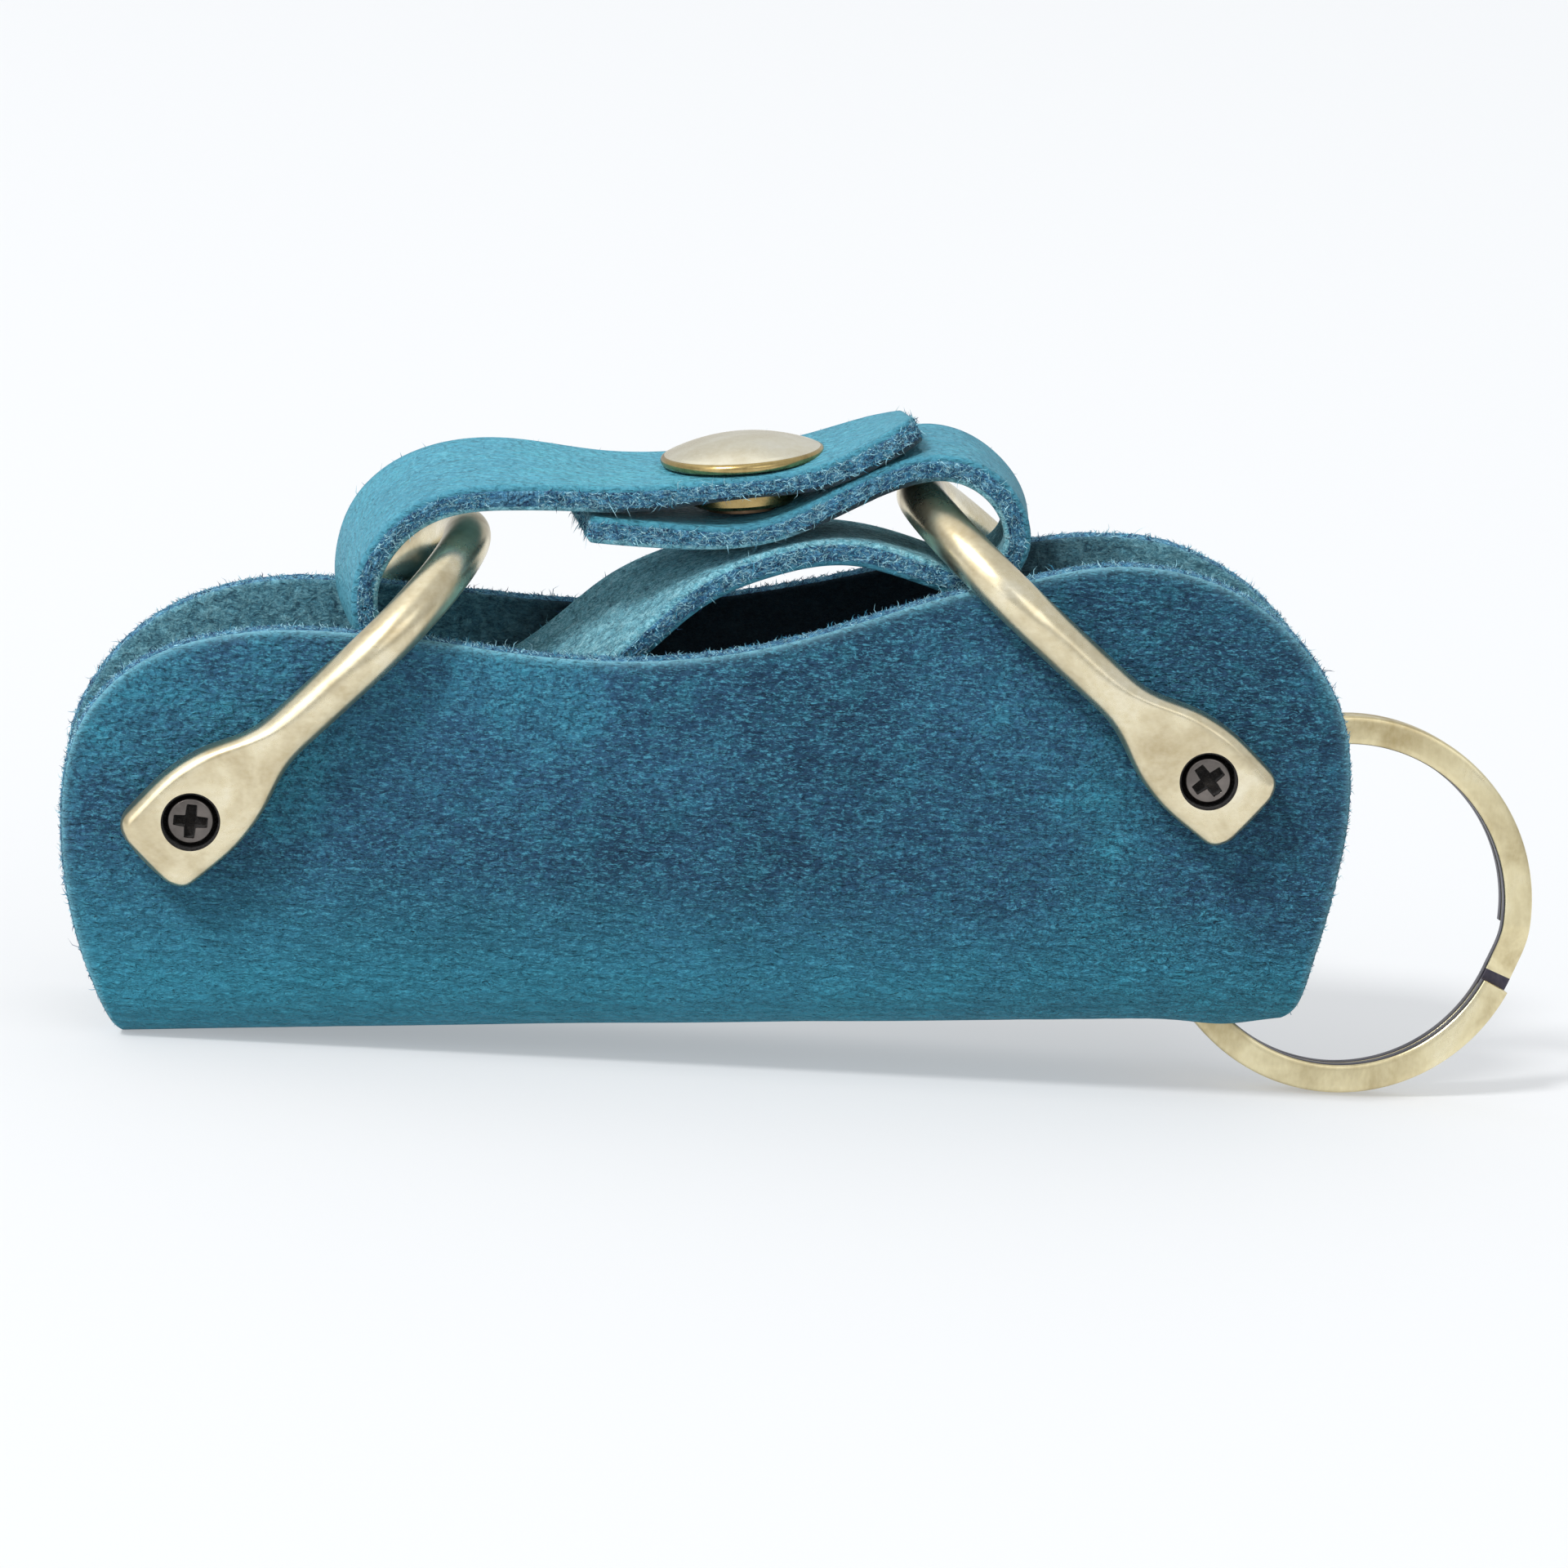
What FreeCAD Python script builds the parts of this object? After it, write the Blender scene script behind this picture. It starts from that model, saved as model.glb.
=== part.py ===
import FreeCAD, Part
import math
import os
import Sketcher

# Leather key organiser: one folded leather case, a brass shackle at each end that turns about a post
# through both flaps, a strap that loops the two shackles together and snaps shut, and a split ring
# through an eyelet in the fold. Everything is drawn in the case's own frame (X along the fold, Y through
# the flaps, Z up from the underside of the fold) and then leant as the object stands: on the left corner
# of its fold and on the ring.

App = FreeCAD
V = App.Vector
doc = App.newDocument("key_organiser")

DIMENSIONS = [
    # case: one sheet folded in a U
    ("leather_thick", 2.1), ("inner_gap", 14.6), ("fold_radius", 5.0), ("case_length", 100.4),
    ("case_height", 38.0),
    # posts through both flaps
    ("post_dia", 5.0), ("post_hole_dia", 5.2), ("left_post_x", -40.3), ("left_post_z", 18.4),
    ("right_post_x", 38.5), ("right_post_z", 20.8), ("post_end_play", 0.05),
    # shackles
    ("ear_play", 0.3), ("ear_thick", 3.6), ("rod_dia", 3.7), ("leg_offset", 12.2), ("bight_reach", 29.45),
    ("left_lean", 42.4), ("right_lean", 43.2), ("pivot_hole_dia", 2.6), ("counterbore_dia", 4.3),
    ("counterbore_depth", 1.5),
    # screws
    ("screw_dia", 2.5), ("screw_grip", 5.0), ("head_dia", 3.8), ("head_height", 1.1),
    ("head_play", 0.05), ("cross_width", 0.75), ("cross_length", 2.5), ("cross_depth", 0.8),
    # eyelet in the fold
    ("eyelet_x", 38.9), ("eyelet_bore", 6.2), ("eyelet_wall", 0.3), ("flange_dia", 8.6),
    ("flange_thick", 0.45), ("eyelet_play", 0.05),
    # split ring of flat wire, two turns
    ("ring_dia", 30.4), ("wire_width", 2.35), ("wire_thick", 1.3), ("coil_gap", 0.06), ("ring_x", 51.2),
    ("ring_y", 1.1), ("ring_z", 7.6), ("ring_yaw", 2.5), ("ring_pitch", 5.0), ("crossover_start", 8.0),
    ("crossover_angle", 21.0),
    # strap and its press stud
    ("strap_width", 13.0), ("strap_thick", 2.1), ("snap_x", 3.3), ("snap_z", 40.35), ("snap_tilt", 4.0),
    ("layer_gap", 1.55), ("cap_dia", 12.7), ("cap_height", 1.6), ("rivet_dia", 2.8),
    ("stud_flange_dia", 6.4), ("stud_flange_thick", 0.35), ("stud_dia", 3.4), ("stud_height", 1.1),
    ("socket_dia", 8.8), ("socket_bore", 4.4), ("socket_foot", 0.4), ("socket_plate", 0.3),
    ("spring_wire", 0.3), ("stud_rivet_dia", 2.2), ("stud_rivet_flange_dia", 6.0),
    ("stud_rivet_flange_thick", 0.35), ("snap_play", 0.05),
]

sheet = doc.addObject("Spreadsheet::Sheet", "dims")
for row, (alias, value) in enumerate(DIMENSIONS, start=1):
    sheet.set("A%d" % row, alias)
    sheet.set("B%d" % row, str(value))
    sheet.setAlias("B%d" % row, alias)
doc.recompute()
dim = {alias: float(sheet.get(alias)) for alias, value in DIMENSIONS}

FLAP_INNER = dim["inner_gap"] / 2
FLAP_OUTER = FLAP_INNER + dim["leather_thick"]
EAR_INNER = FLAP_OUTER + dim["ear_play"]
EAR_OUTER = EAR_INNER + dim["ear_thick"]


# ---- how the parts are drawn ----

def new_body(label):
    body = doc.addObject("PartDesign::Body", label)
    body.Label = label
    return body


def sketch_on(body, role, name, offset=0.0):
    """A sketch on one of the body's own origin planes, moved along the plane's normal by offset."""
    plane = next(f for f in body.Origin.OriginFeatures if f.Role == role)
    sketch = body.newObject("Sketcher::SketchObject", name)
    sketch.AttachmentSupport = [(plane, "")]
    sketch.MapMode = "FlatFace"
    sketch.AttachmentOffset = App.Placement(V(0, 0, offset), App.Rotation())
    return sketch


def add_circle(sketch, x_expr, y_expr, dia_expr):
    """A circle whose centre and diameter are bound to cells of the sheet."""
    index = sketch.addGeometry(Part.Circle(V(1, 1, 0), V(0, 0, 1), 1.0), False)
    for kind, expr in (("Diameter", dia_expr), ("DistanceX", x_expr), ("DistanceY", y_expr)):
        if kind == "Diameter":
            number = sketch.addConstraint(Sketcher.Constraint(kind, index, 2.0))
        else:
            number = sketch.addConstraint(Sketcher.Constraint(kind, index, 3, 1.0))
        sketch.setExpression("Constraints[%d]" % number, expr)


def add_outline(sketch, points):
    """A closed chain of straight lines through the points."""
    closed = points + points[:1]
    for (x0, y0), (x1, y1) in zip(closed, closed[1:]):
        sketch.addGeometry(Part.LineSegment(V(x0, y0, 0), V(x1, y1, 0)), False)


def add_spline_outline(sketch, points, bottom):
    """A smooth curve through points, closed by straight lines through the bottom points."""
    curve = Part.BSplineCurve()
    curve.interpolate([V(x, y, 0) for x, y in points])
    sketch.addGeometry(curve, False)
    chain = [points[-1]] + bottom + [points[0]]
    for (x0, y0), (x1, y1) in zip(chain, chain[1:]):
        sketch.addGeometry(Part.LineSegment(V(x0, y0, 0), V(x1, y1, 0)), False)


def pad(body, sketch, length_expr, midplane=False, reverse=False):
    feature = body.newObject("PartDesign::Pad", "Pad")
    feature.Profile = sketch
    feature.setExpression("Length", length_expr)
    feature.Midplane = midplane
    feature.Reversed = reverse
    doc.recompute()
    return feature


def pocket(body, sketch, length_expr, midplane=False, reverse=False):
    before = body.Shape.Volume
    feature = body.newObject("PartDesign::Pocket", "Pocket")
    feature.Profile = sketch
    feature.setExpression("Length", length_expr)
    feature.Midplane = midplane
    feature.Reversed = reverse
    doc.recompute()
    if not body.Shape.Volume < before - 1e-6:
        raise RuntimeError("a pocket in %s removed nothing" % body.Label)
    return feature


def revolve(body, sketch, angle=360.0):
    feature = body.newObject("PartDesign::Revolution", "Revolution")
    feature.Profile = sketch
    feature.ReferenceAxis = (sketch, ["V_Axis"])
    feature.Angle = angle
    doc.recompute()
    return feature


def turned_body(label, profiles):
    """A body of revolution about Z from closed half profiles of (radius, height) points."""
    body = new_body(label)
    for profile in profiles:
        sketch = sketch_on(body, "XZ_Plane", "HalfProfile")
        add_outline(sketch, profile)
        doc.recompute()
        revolve(body, sketch)
    return body


# ---- where the parts stand ----

FOLD_CORNER_X = -45.6
RING_TURN = App.Rotation(V(0, 0, 1), dim["ring_yaw"]).multiply(App.Rotation(V(1, 0, 0), 90 - dim["ring_pitch"]))
RING_CENTRE = V(dim["ring_x"], dim["ring_y"], dim["ring_z"])


def ring_reach(direction):
    """How far the thick flat ring reaches from its centre along a unit direction."""
    along_axis = abs(RING_TURN.multVec(V(0, 0, 1)).dot(direction))
    return dim["ring_dia"] / 2 * math.sqrt(1 - along_axis ** 2) + dim["wire_thick"] * along_axis


def stand_tilt():
    """Angle that brings the left corner of the fold and the ring's lowest point onto one plane."""
    tilt = 0.0
    for _ in range(20):
        down = V(math.sin(tilt), 0, -math.cos(tilt))
        drop = ring_reach(down) - dim["ring_z"] * math.cos(tilt)
        tilt = math.asin(drop / (dim["ring_x"] - FOLD_CORNER_X))
    return tilt


TILT = stand_tilt()
LEAN = App.Rotation(V(0, 1, 0), -math.degrees(TILT))
LOWEST = LEAN.multVec(V(FOLD_CORNER_X, 0, 0))
# the box's middle along X: from the left lobe of the case to the far side of the ring
LEFT_END = LEAN.multVec(V(-dim["case_length"] / 2, 0, 17.0)).x
RIGHT_END = LEAN.multVec(RING_CENTRE).x + ring_reach(LEAN.inverted().multVec(V(1, 0, 0)))
STAND = App.Placement(V(-(LEFT_END + RIGHT_END) / 2, 0, -LOWEST.z), LEAN)


def place(item, position=V(0, 0, 0), rotation=App.Rotation()):
    """Puts a part at its place in the case's frame, then leans it with the whole object."""
    item.Placement = STAND.multiply(App.Placement(position, rotation))


# ---- case ----

# flap outline above the fold, (x, z): left side, left lobe, dip, right lobe, right side
FLAP_OUTLINE = [
    (-45.6, 0.0), (-48.6, 6.0), (-50.0, 12.5), (-50.2, 17.5), (-49.3, 23.5), (-46.4, 28.4), (-41.0, 31.8),
    (-34.0, 32.8), (-22.0, 31.8), (-14.0, 30.5), (-6.0, 30.1), (3.0, 30.8), (12.0, 33.0), (22.0, 35.2),
    (32.0, 37.1), (39.5, 35.8), (45.5, 31.6), (49.2, 25.4), (50.2, 19.0), (49.3, 12.5), (47.6, 6.0),
    (45.4, 0.0),
]


def make_case():
    body = new_body("case_leather")
    section = sketch_on(body, "YZ_Plane", "FoldSection")
    top = dim["case_height"]
    outer = dim["fold_radius"]
    inner = outer - dim["leather_thick"]
    thick = dim["leather_thick"]
    low = FLAP_OUTER - outer
    diag = math.sqrt(0.5)
    for side in (-1, 1):
        section.addGeometry(Part.LineSegment(V(side * FLAP_OUTER, top, 0), V(side * FLAP_OUTER, outer, 0)))
        section.addGeometry(Part.LineSegment(V(side * FLAP_INNER, top, 0), V(side * FLAP_INNER, outer, 0)))
        section.addGeometry(Part.LineSegment(V(side * FLAP_INNER, top, 0), V(side * FLAP_OUTER, top, 0)))
        for radius in (outer, inner):
            section.addGeometry(Part.Arc(V(side * (low + radius), outer, 0),
                                         V(side * (low + radius * diag), outer - radius * diag, 0),
                                         V(side * low, outer - radius, 0)))
    section.addGeometry(Part.LineSegment(V(-low, 0, 0), V(low, 0, 0)))
    section.addGeometry(Part.LineSegment(V(-low, thick, 0), V(low, thick, 0)))
    doc.recompute()
    pad(body, section, "dims.case_length + 4", midplane=True)

    trim = sketch_on(body, "XZ_Plane", "FlapOutline")
    add_spline_outline(trim, FLAP_OUTLINE, [])
    far = dim["case_length"]
    add_outline(trim, [(-far, -far), (far, -far), (far, far), (-far, far)])
    doc.recompute()
    pocket(body, trim, "dims.inner_gap * 4", midplane=True)

    posts = sketch_on(body, "XZ_Plane", "PostHoles")
    add_circle(posts, "dims.left_post_x", "dims.left_post_z", "dims.post_hole_dia")
    add_circle(posts, "dims.right_post_x", "dims.right_post_z", "dims.post_hole_dia")
    doc.recompute()
    pocket(body, posts, "dims.inner_gap * 4", midplane=True)

    eyelet = sketch_on(body, "XY_Plane", "EyeletHole")
    eyelet_hole = "dims.eyelet_bore + 2 * dims.eyelet_wall + 2 * dims.eyelet_play"
    add_circle(eyelet, "dims.eyelet_x", "0", eyelet_hole)
    doc.recompute()
    pocket(body, eyelet, "dims.leather_thick * 3", midplane=True)
    place(body)


def make_eyelet():
    """Barrel with a flange under the fold, and the washer that its top is set over inside the case."""
    bore = dim["eyelet_bore"] / 2
    barrel = bore + dim["eyelet_wall"]
    flange = dim["flange_dia"] / 2
    low = -dim["flange_thick"]
    top = dim["leather_thick"] + dim["flange_thick"]
    round_over = dim["flange_thick"] / 2
    body = turned_body("eyelet", [[
        (bore, low + round_over), (bore + round_over, low), (flange - round_over, low),
        (flange, low + round_over), (flange, 0), (barrel, 0), (barrel, top), (bore, top)]])
    place(body, V(dim["eyelet_x"], 0, 0))
    washer_bore = barrel + dim["eyelet_play"]
    washer = turned_body("eyelet_washer", [[
        (washer_bore, dim["leather_thick"]), (flange, dim["leather_thick"]), (flange, top - round_over),
        (flange - round_over, top), (washer_bore, top)]])
    place(washer, V(dim["eyelet_x"], 0, 0))


# ---- shackles, posts and screws ----

# half of the ear and neck, (along the leg from the post, half width)
EAR_HALF = [(-4.0, 2.6), (-3.7, 3.2), (-1.6, 3.9), (0.6, 4.0), (3.0, 3.7), (5.0, 3.1), (7.0, 2.4), (8.6, 1.95),
            (10.5, 1.85)]
LEG_START = 7.0


def make_shackle(label, side_name, turn):
    """Drawn lying along X from the post at the origin, legs on both sides of the case, then turned up."""
    body = new_body(label)
    outline = EAR_HALF + [(x, -z) for x, z in reversed(EAR_HALF)]
    for side, offset in (("Front", EAR_INNER), ("Rear", -EAR_OUTER)):
        ear = sketch_on(body, "XZ_Plane", side + "Ear", offset)
        add_outline(ear, outline)
        doc.recompute()
        pad(body, ear, "dims.ear_thick")
    bend_start = dim["bight_reach"] - dim["leg_offset"]
    for side in (-1, 1):
        leg = sketch_on(body, "YZ_Plane", "Leg", LEG_START)
        add_circle(leg, "%d * dims.leg_offset" % side, "0", "dims.rod_dia")
        doc.recompute()
        pad(body, leg, "dims.bight_reach - dims.leg_offset - %g" % LEG_START)
    bight = sketch_on(body, "YZ_Plane", "BightSection", bend_start)
    add_circle(bight, "dims.leg_offset", "0", "dims.rod_dia")
    doc.recompute()
    bend = revolve(body, bight, 180.0)
    if body.Shape.BoundBox.XMax < bend_start + dim["leg_offset"]:
        bend.Reversed = True
        doc.recompute()
    pivot = sketch_on(body, "XZ_Plane", "PivotHole")
    add_circle(pivot, "0", "0", "dims.pivot_hole_dia")
    doc.recompute()
    pocket(body, pivot, "dims.leg_offset * 3", midplane=True)
    for side, offset, back in (("Front", EAR_OUTER, False), ("Rear", -EAR_OUTER, True)):
        seat = sketch_on(body, "XZ_Plane", side + "Counterbore", offset)
        add_circle(seat, "0", "0", "dims.counterbore_dia")
        doc.recompute()
        pocket(body, seat, "dims.counterbore_depth", reverse=back)
    post = V(dim[side_name + "_post_x"], 0, dim[side_name + "_post_z"])
    place(body, post, turn)


def make_post(side_name):
    """Barrel between the ears of one shackle, tapped at both ends."""
    body = new_body(side_name + "_post")
    barrel = sketch_on(body, "XZ_Plane", "Barrel")
    add_circle(barrel, "0", "0", "dims.post_dia")
    doc.recompute()
    length = "dims.inner_gap + 2 * (dims.leather_thick + dims.ear_play - dims.post_end_play)"
    pad(body, barrel, length, midplane=True)
    end = EAR_INNER - dim["post_end_play"]
    for side, offset, back in (("Front", end, False), ("Rear", -end, True)):
        tap = sketch_on(body, "XZ_Plane", side + "Tapping", offset)
        add_circle(tap, "0", "0", "dims.screw_dia")
        doc.recompute()
        pocket(body, tap, "dims.screw_grip + 0.5", reverse=back)
    place(body, V(dim[side_name + "_post_x"], 0, dim[side_name + "_post_z"]))


def make_screw(side_name, face, cross_turn):
    """Pan-head cross-recess screw, drawn along Z with its head's underside at 0 and its shank below."""
    body = new_body("%s_%s_screw" % (side_name, face))
    radius = dim["screw_dia"] / 2
    head = dim["head_dia"] / 2
    high = dim["head_height"]
    seat = EAR_OUTER - dim["counterbore_depth"] + dim["head_play"]
    shank = seat - (EAR_INNER - dim["post_end_play"]) + dim["screw_grip"]
    edge = 0.25
    profile = sketch_on(body, "XZ_Plane", "HalfProfile")
    add_outline(profile, [(0, high), (head - edge, high), (head, high - edge), (head, 0), (radius, 0),
                          (radius, -shank + edge), (radius - edge, -shank), (0, -shank)])
    doc.recompute()
    revolve(body, profile)
    cross = sketch_on(body, "XY_Plane", "CrossRecess", high)
    long = dim["cross_length"] / 2
    wide = dim["cross_width"] / 2
    plus = [(wide, long), (-wide, long), (-wide, wide), (-long, wide), (-long, -wide), (-wide, -wide),
            (-wide, -long), (wide, -long), (wide, -wide), (long, -wide), (long, wide), (wide, wide)]
    add_outline(cross, plus)
    doc.recompute()
    pocket(body, cross, "dims.cross_depth")
    front = face == "front"
    outward = App.Rotation(V(1, 0, 0), 90 if front else -90)
    spin = App.Rotation(V(0, 0, 1), cross_turn)
    position = V(dim[side_name + "_post_x"], -seat if front else seat, dim[side_name + "_post_z"])
    place(body, position, outward.multiply(spin))


# ---- strap and press stud ----

SNAP_TURN = App.Rotation(V(0, 1, 0), -dim["snap_tilt"])
SNAP_FOOT = V(dim["snap_x"], 0, dim["snap_z"])


def by_snap(along, height):
    """(x, z) of a point measured along the snap's own plane and up from the snap's foot."""
    point = SNAP_FOOT + SNAP_TURN.multVec(V(along, 0, height))
    return (point.x, point.z)


LOWER_MID = -dim["strap_thick"] / 2
UPPER_MID = dim["layer_gap"] + dim["strap_thick"] / 2
TONGUE_ROOT = (-10.0, 42.5)
# middle line of the strap, (x, z): from its lower end under the snap, round the right bight, back through
# the case below the snap, up round the left bight and over to the root of the tongue
STRAP_ROUTE = [
    (-9.4, 39.1), by_snap(-6.3, LOWER_MID), by_snap(5.4, LOWER_MID), (12.8, 42.0), (17.3, 44.85),
    (22.6, 44.1), (24.8, 39.6), (23.2, 35.2), (19.3, 34.3), (12.8, 37.0), (6.5, 36.6), (1.0, 34.6),
    (-5.0, 30.9), (-11.5, 26.4), (-18.5, 25.0), (-24.5, 28.0), (-27.6, 34.0), (-26.4, 39.8),
    (-21.2, 42.9), (-15.0, 43.0), (-11.8, 42.55), TONGUE_ROOT,
]
# middle line of the tongue, from its root over the snap to its free end
TONGUE_ROUTE = [TONGUE_ROOT, by_snap(-8.3, UPPER_MID), by_snap(8.5, UPPER_MID), (15.0, 46.25)]


def rounded_route(route):
    """Straight runs and the tangent arcs between them, as (kind, points) with arcs as large as fit."""
    spans = []
    start = V(route[0][0], route[0][1], 0)
    smallest = None
    for before, corner, after in zip(route, route[1:], route[2:]):
        here = V(corner[0], corner[1], 0)
        back = V(before[0], before[1], 0) - here
        ahead = V(after[0], after[1], 0) - here
        reach = 0.45 * min(back.Length, ahead.Length)
        turn = math.pi - back.getAngle(ahead)
        radius = reach / math.tan(turn / 2)
        smallest = radius if smallest is None else min(smallest, radius)
        back.normalize()
        ahead.normalize()
        enter = here + back * reach
        leave = here + ahead * reach
        bisector = (back + ahead).normalize()
        centre = here + bisector * math.hypot(radius, reach)
        spans.append(("line", start, enter))
        spans.append(("arc", enter, centre - bisector * radius, leave, centre))
        start = leave
    spans.append(("line", start, V(route[-1][0], route[-1][1], 0)))
    return spans, smallest


def add_band(sketch, route, thick):
    """Closed outline of a band of even thickness along the rounded route, square at both ends."""
    spans, smallest = rounded_route(route)
    print("tightest bend of the middle line %.2f mm" % smallest)
    half = thick / 2
    ends = {}
    for side in (1, -1):
        points = []
        for span in spans:
            if span[0] == "line":
                along = (span[2] - span[1]).normalize()
                shift = V(-along.y, along.x, 0) * half * side
                a, b = span[1] + shift, span[2] + shift
                sketch.addGeometry(Part.LineSegment(a, b), False)
                points += [a, b]
            else:
                centre = span[4]
                moved = []
                cross = (span[2] - span[1]).cross(span[3] - span[1]).z
                grow = -half * side if cross > 0 else half * side
                for point in span[1:4]:
                    spoke = point - centre
                    moved.append(centre + spoke * ((spoke.Length + grow) / spoke.Length))
                sketch.addGeometry(Part.Arc(*moved), False)
        ends[side] = (points[0], points[-1])
    for which in (0, 1):
        sketch.addGeometry(Part.LineSegment(ends[1][which], ends[-1][which]), False)


def make_band(label, route, hole_expr, flange_expr=None):
    """A strip of the strap with the hole that its half of the press stud is riveted through."""
    body = new_body(label)
    outline = sketch_on(body, "XZ_Plane", "Band")
    add_band(outline, route, dim["strap_thick"])
    doc.recompute()
    pad(body, outline, "dims.strap_width", midplane=True)
    hole = sketch_on(body, "XY_Plane", "RivetHole")
    add_circle(hole, "0", "0", hole_expr)
    low = -dim["strap_thick"] - 1.0 if flange_expr else 0.3
    tilt = App.Placement(SNAP_FOOT + SNAP_TURN.multVec(V(0, 0, low)), SNAP_TURN)
    hole.AttachmentOffset = tilt
    doc.recompute()
    pocket(body, hole, "dims.strap_thick + 2", reverse=True)
    if flange_expr:
        recess = sketch_on(body, "XY_Plane", "RivetRecess")
        add_circle(recess, "0", "0", flange_expr)
        recess.AttachmentOffset = App.Placement(
            SNAP_FOOT + SNAP_TURN.multVec(V(0, 0, -dim["strap_thick"] - 1.0)), SNAP_TURN)
        doc.recompute()
        pocket(body, recess, "1 + dims.stud_rivet_flange_thick", reverse=True)
    place(body)


def make_press_stud():
    """Stud and its rivet on the lower layer; cap, socket and spring on the tongue. Heights count from
    the top of the lower layer, along the snap's own axis."""
    play = dim["snap_play"]
    rivet = dim["stud_rivet_dia"] / 2
    flange = dim["stud_flange_dia"] / 2
    base = dim["stud_flange_thick"]
    head = dim["stud_dia"] / 2
    neck = head - 0.2
    tall = dim["stud_height"]
    crown = tall - 0.25
    stud = turned_body("snap_stud", [[
        (rivet + play, 0), (flange, 0), (flange, base), (neck, base), (neck, 0.6), (head, 0.75),
        (head, crown), (head - 0.25, tall), (0, tall), (0, crown), (rivet + play, crown)]])
    place(stud, SNAP_FOOT, SNAP_TURN)

    under = -dim["strap_thick"]
    plate = dim["stud_rivet_flange_thick"]
    wide = dim["stud_rivet_flange_dia"] / 2
    stud_rivet = turned_body("snap_stud_rivet", [[
        (0, under), (wide, under), (wide, under + plate), (rivet, under + plate), (rivet, crown - play),
        (0, crown - play)]])
    place(stud_rivet, SNAP_FOOT, SNAP_TURN)

    foot = dim["socket_foot"]
    gap = dim["layer_gap"]
    ceiling = gap - dim["socket_plate"]
    bore = dim["socket_bore"] / 2
    rim = dim["socket_dia"] / 2
    post = dim["rivet_dia"] / 2
    wire = dim["spring_wire"]
    groove_low = foot + 0.2
    groove_high = groove_low + wire + 2 * play
    groove = bore + wire + 2 * play
    socket = turned_body("snap_socket", [[
        (bore, foot), (rim - 0.3, foot), (rim, foot + 0.3), (rim, gap), (post + play, gap),
        (post + play, ceiling), (bore, ceiling), (bore, groove_high), (groove, groove_high),
        (groove, groove_low), (bore, groove_low)]])
    place(socket, SNAP_FOOT, SNAP_TURN)

    spring = doc.addObject("Part::Torus", "socket_spring")
    spring.Label = "socket_spring"
    spring.setExpression("Radius1", "dims.socket_bore / 2 + dims.spring_wire / 2")
    spring.setExpression("Radius2", "dims.spring_wire / 2")
    spring_height = groove_low + play + wire / 2
    place(spring, SNAP_FOOT + SNAP_TURN.multVec(V(0, 0, spring_height)), SNAP_TURN)

    top = gap + dim["strap_thick"]
    cap = dim["cap_dia"] / 2
    dome = dim["cap_height"]
    body = new_body("snap_cap")
    profile = sketch_on(body, "XZ_Plane", "HalfProfile")
    edge_top = V(cap - 0.25, top + 0.55, 0)
    crown_point = V(0, top + dome, 0)
    rise = dome - 0.55
    sphere = (edge_top.x ** 2 + rise ** 2) / (2 * rise)
    half_turn = math.asin(edge_top.x / sphere) / 2
    centre_height = top + dome - sphere
    between = V(sphere * math.sin(half_turn), centre_height + sphere * math.cos(half_turn), 0)
    profile.addGeometry(Part.Arc(crown_point, between, edge_top), False)
    corners = [edge_top, V(cap, top + 0.3, 0), V(cap - 0.2, top, 0), V(post, top, 0), V(post, ceiling, 0),
               V(0, ceiling, 0), crown_point]
    for a, b in zip(corners, corners[1:]):
        profile.addGeometry(Part.LineSegment(a, b), False)
    doc.recompute()
    revolve(body, profile)
    place(body, SNAP_FOOT, SNAP_TURN)


# ---- split ring ----

def make_coil(name, low_expr, high_expr, start, sweep_expr):
    """Part of a flat ring about Z between two heights, from angle start through the sweep."""
    outer = doc.addObject("Part::Cylinder", name + "_outer")
    inner = doc.addObject("Part::Cylinder", name + "_inner")
    outer.setExpression("Radius", "dims.ring_dia / 2")
    inner.setExpression("Radius", "dims.ring_dia / 2 - dims.wire_width")
    outer.setExpression("Angle", sweep_expr)
    outer.setExpression("Height", "(%s) - (%s)" % (high_expr, low_expr))
    inner.setExpression("Height", "(%s) - (%s) + 2" % (high_expr, low_expr))
    inner.setExpression("Placement.Base.z", "(%s) - 1" % low_expr)
    outer.setExpression("Placement.Base.z", low_expr)
    outer.setExpression("Placement.Rotation.Axis.z", "1")
    outer.setExpression("Placement.Rotation.Angle", "%g deg" % start)
    cut = doc.addObject("Part::Cut", name)
    cut.Base = outer
    cut.Tool = inner
    return cut


def make_ring():
    """Flat wire wound twice: the front turn steps back across the crossover into the rear turn."""
    # seen from the front, the free end of the front turn is 29 degrees below the right-hand side
    step = dim["crossover_angle"]
    first = -dim["crossover_start"] - step
    turn_expr = "360 deg - dims.crossover_angle * 1 deg"
    half_gap = "dims.coil_gap / 2"
    front = make_coil("front_turn", half_gap, "dims.wire_thick", -dim["crossover_start"], turn_expr)
    rear = make_coil("rear_turn", "-dims.wire_thick", "-" + half_gap, -dim["crossover_start"], turn_expr)
    cross = make_coil("crossover", "-dims.wire_thick / 2", "dims.wire_thick / 2", first - 1.5,
                      "(dims.crossover_angle + 3) * 1 deg")
    ring = doc.addObject("Part::MultiFuse", "split_ring")
    ring.Label = "split_ring"
    ring.Shapes = [front, rear, cross]
    doc.recompute()
    place(ring, RING_CENTRE, RING_TURN)


# ---- the whole object ----

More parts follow.
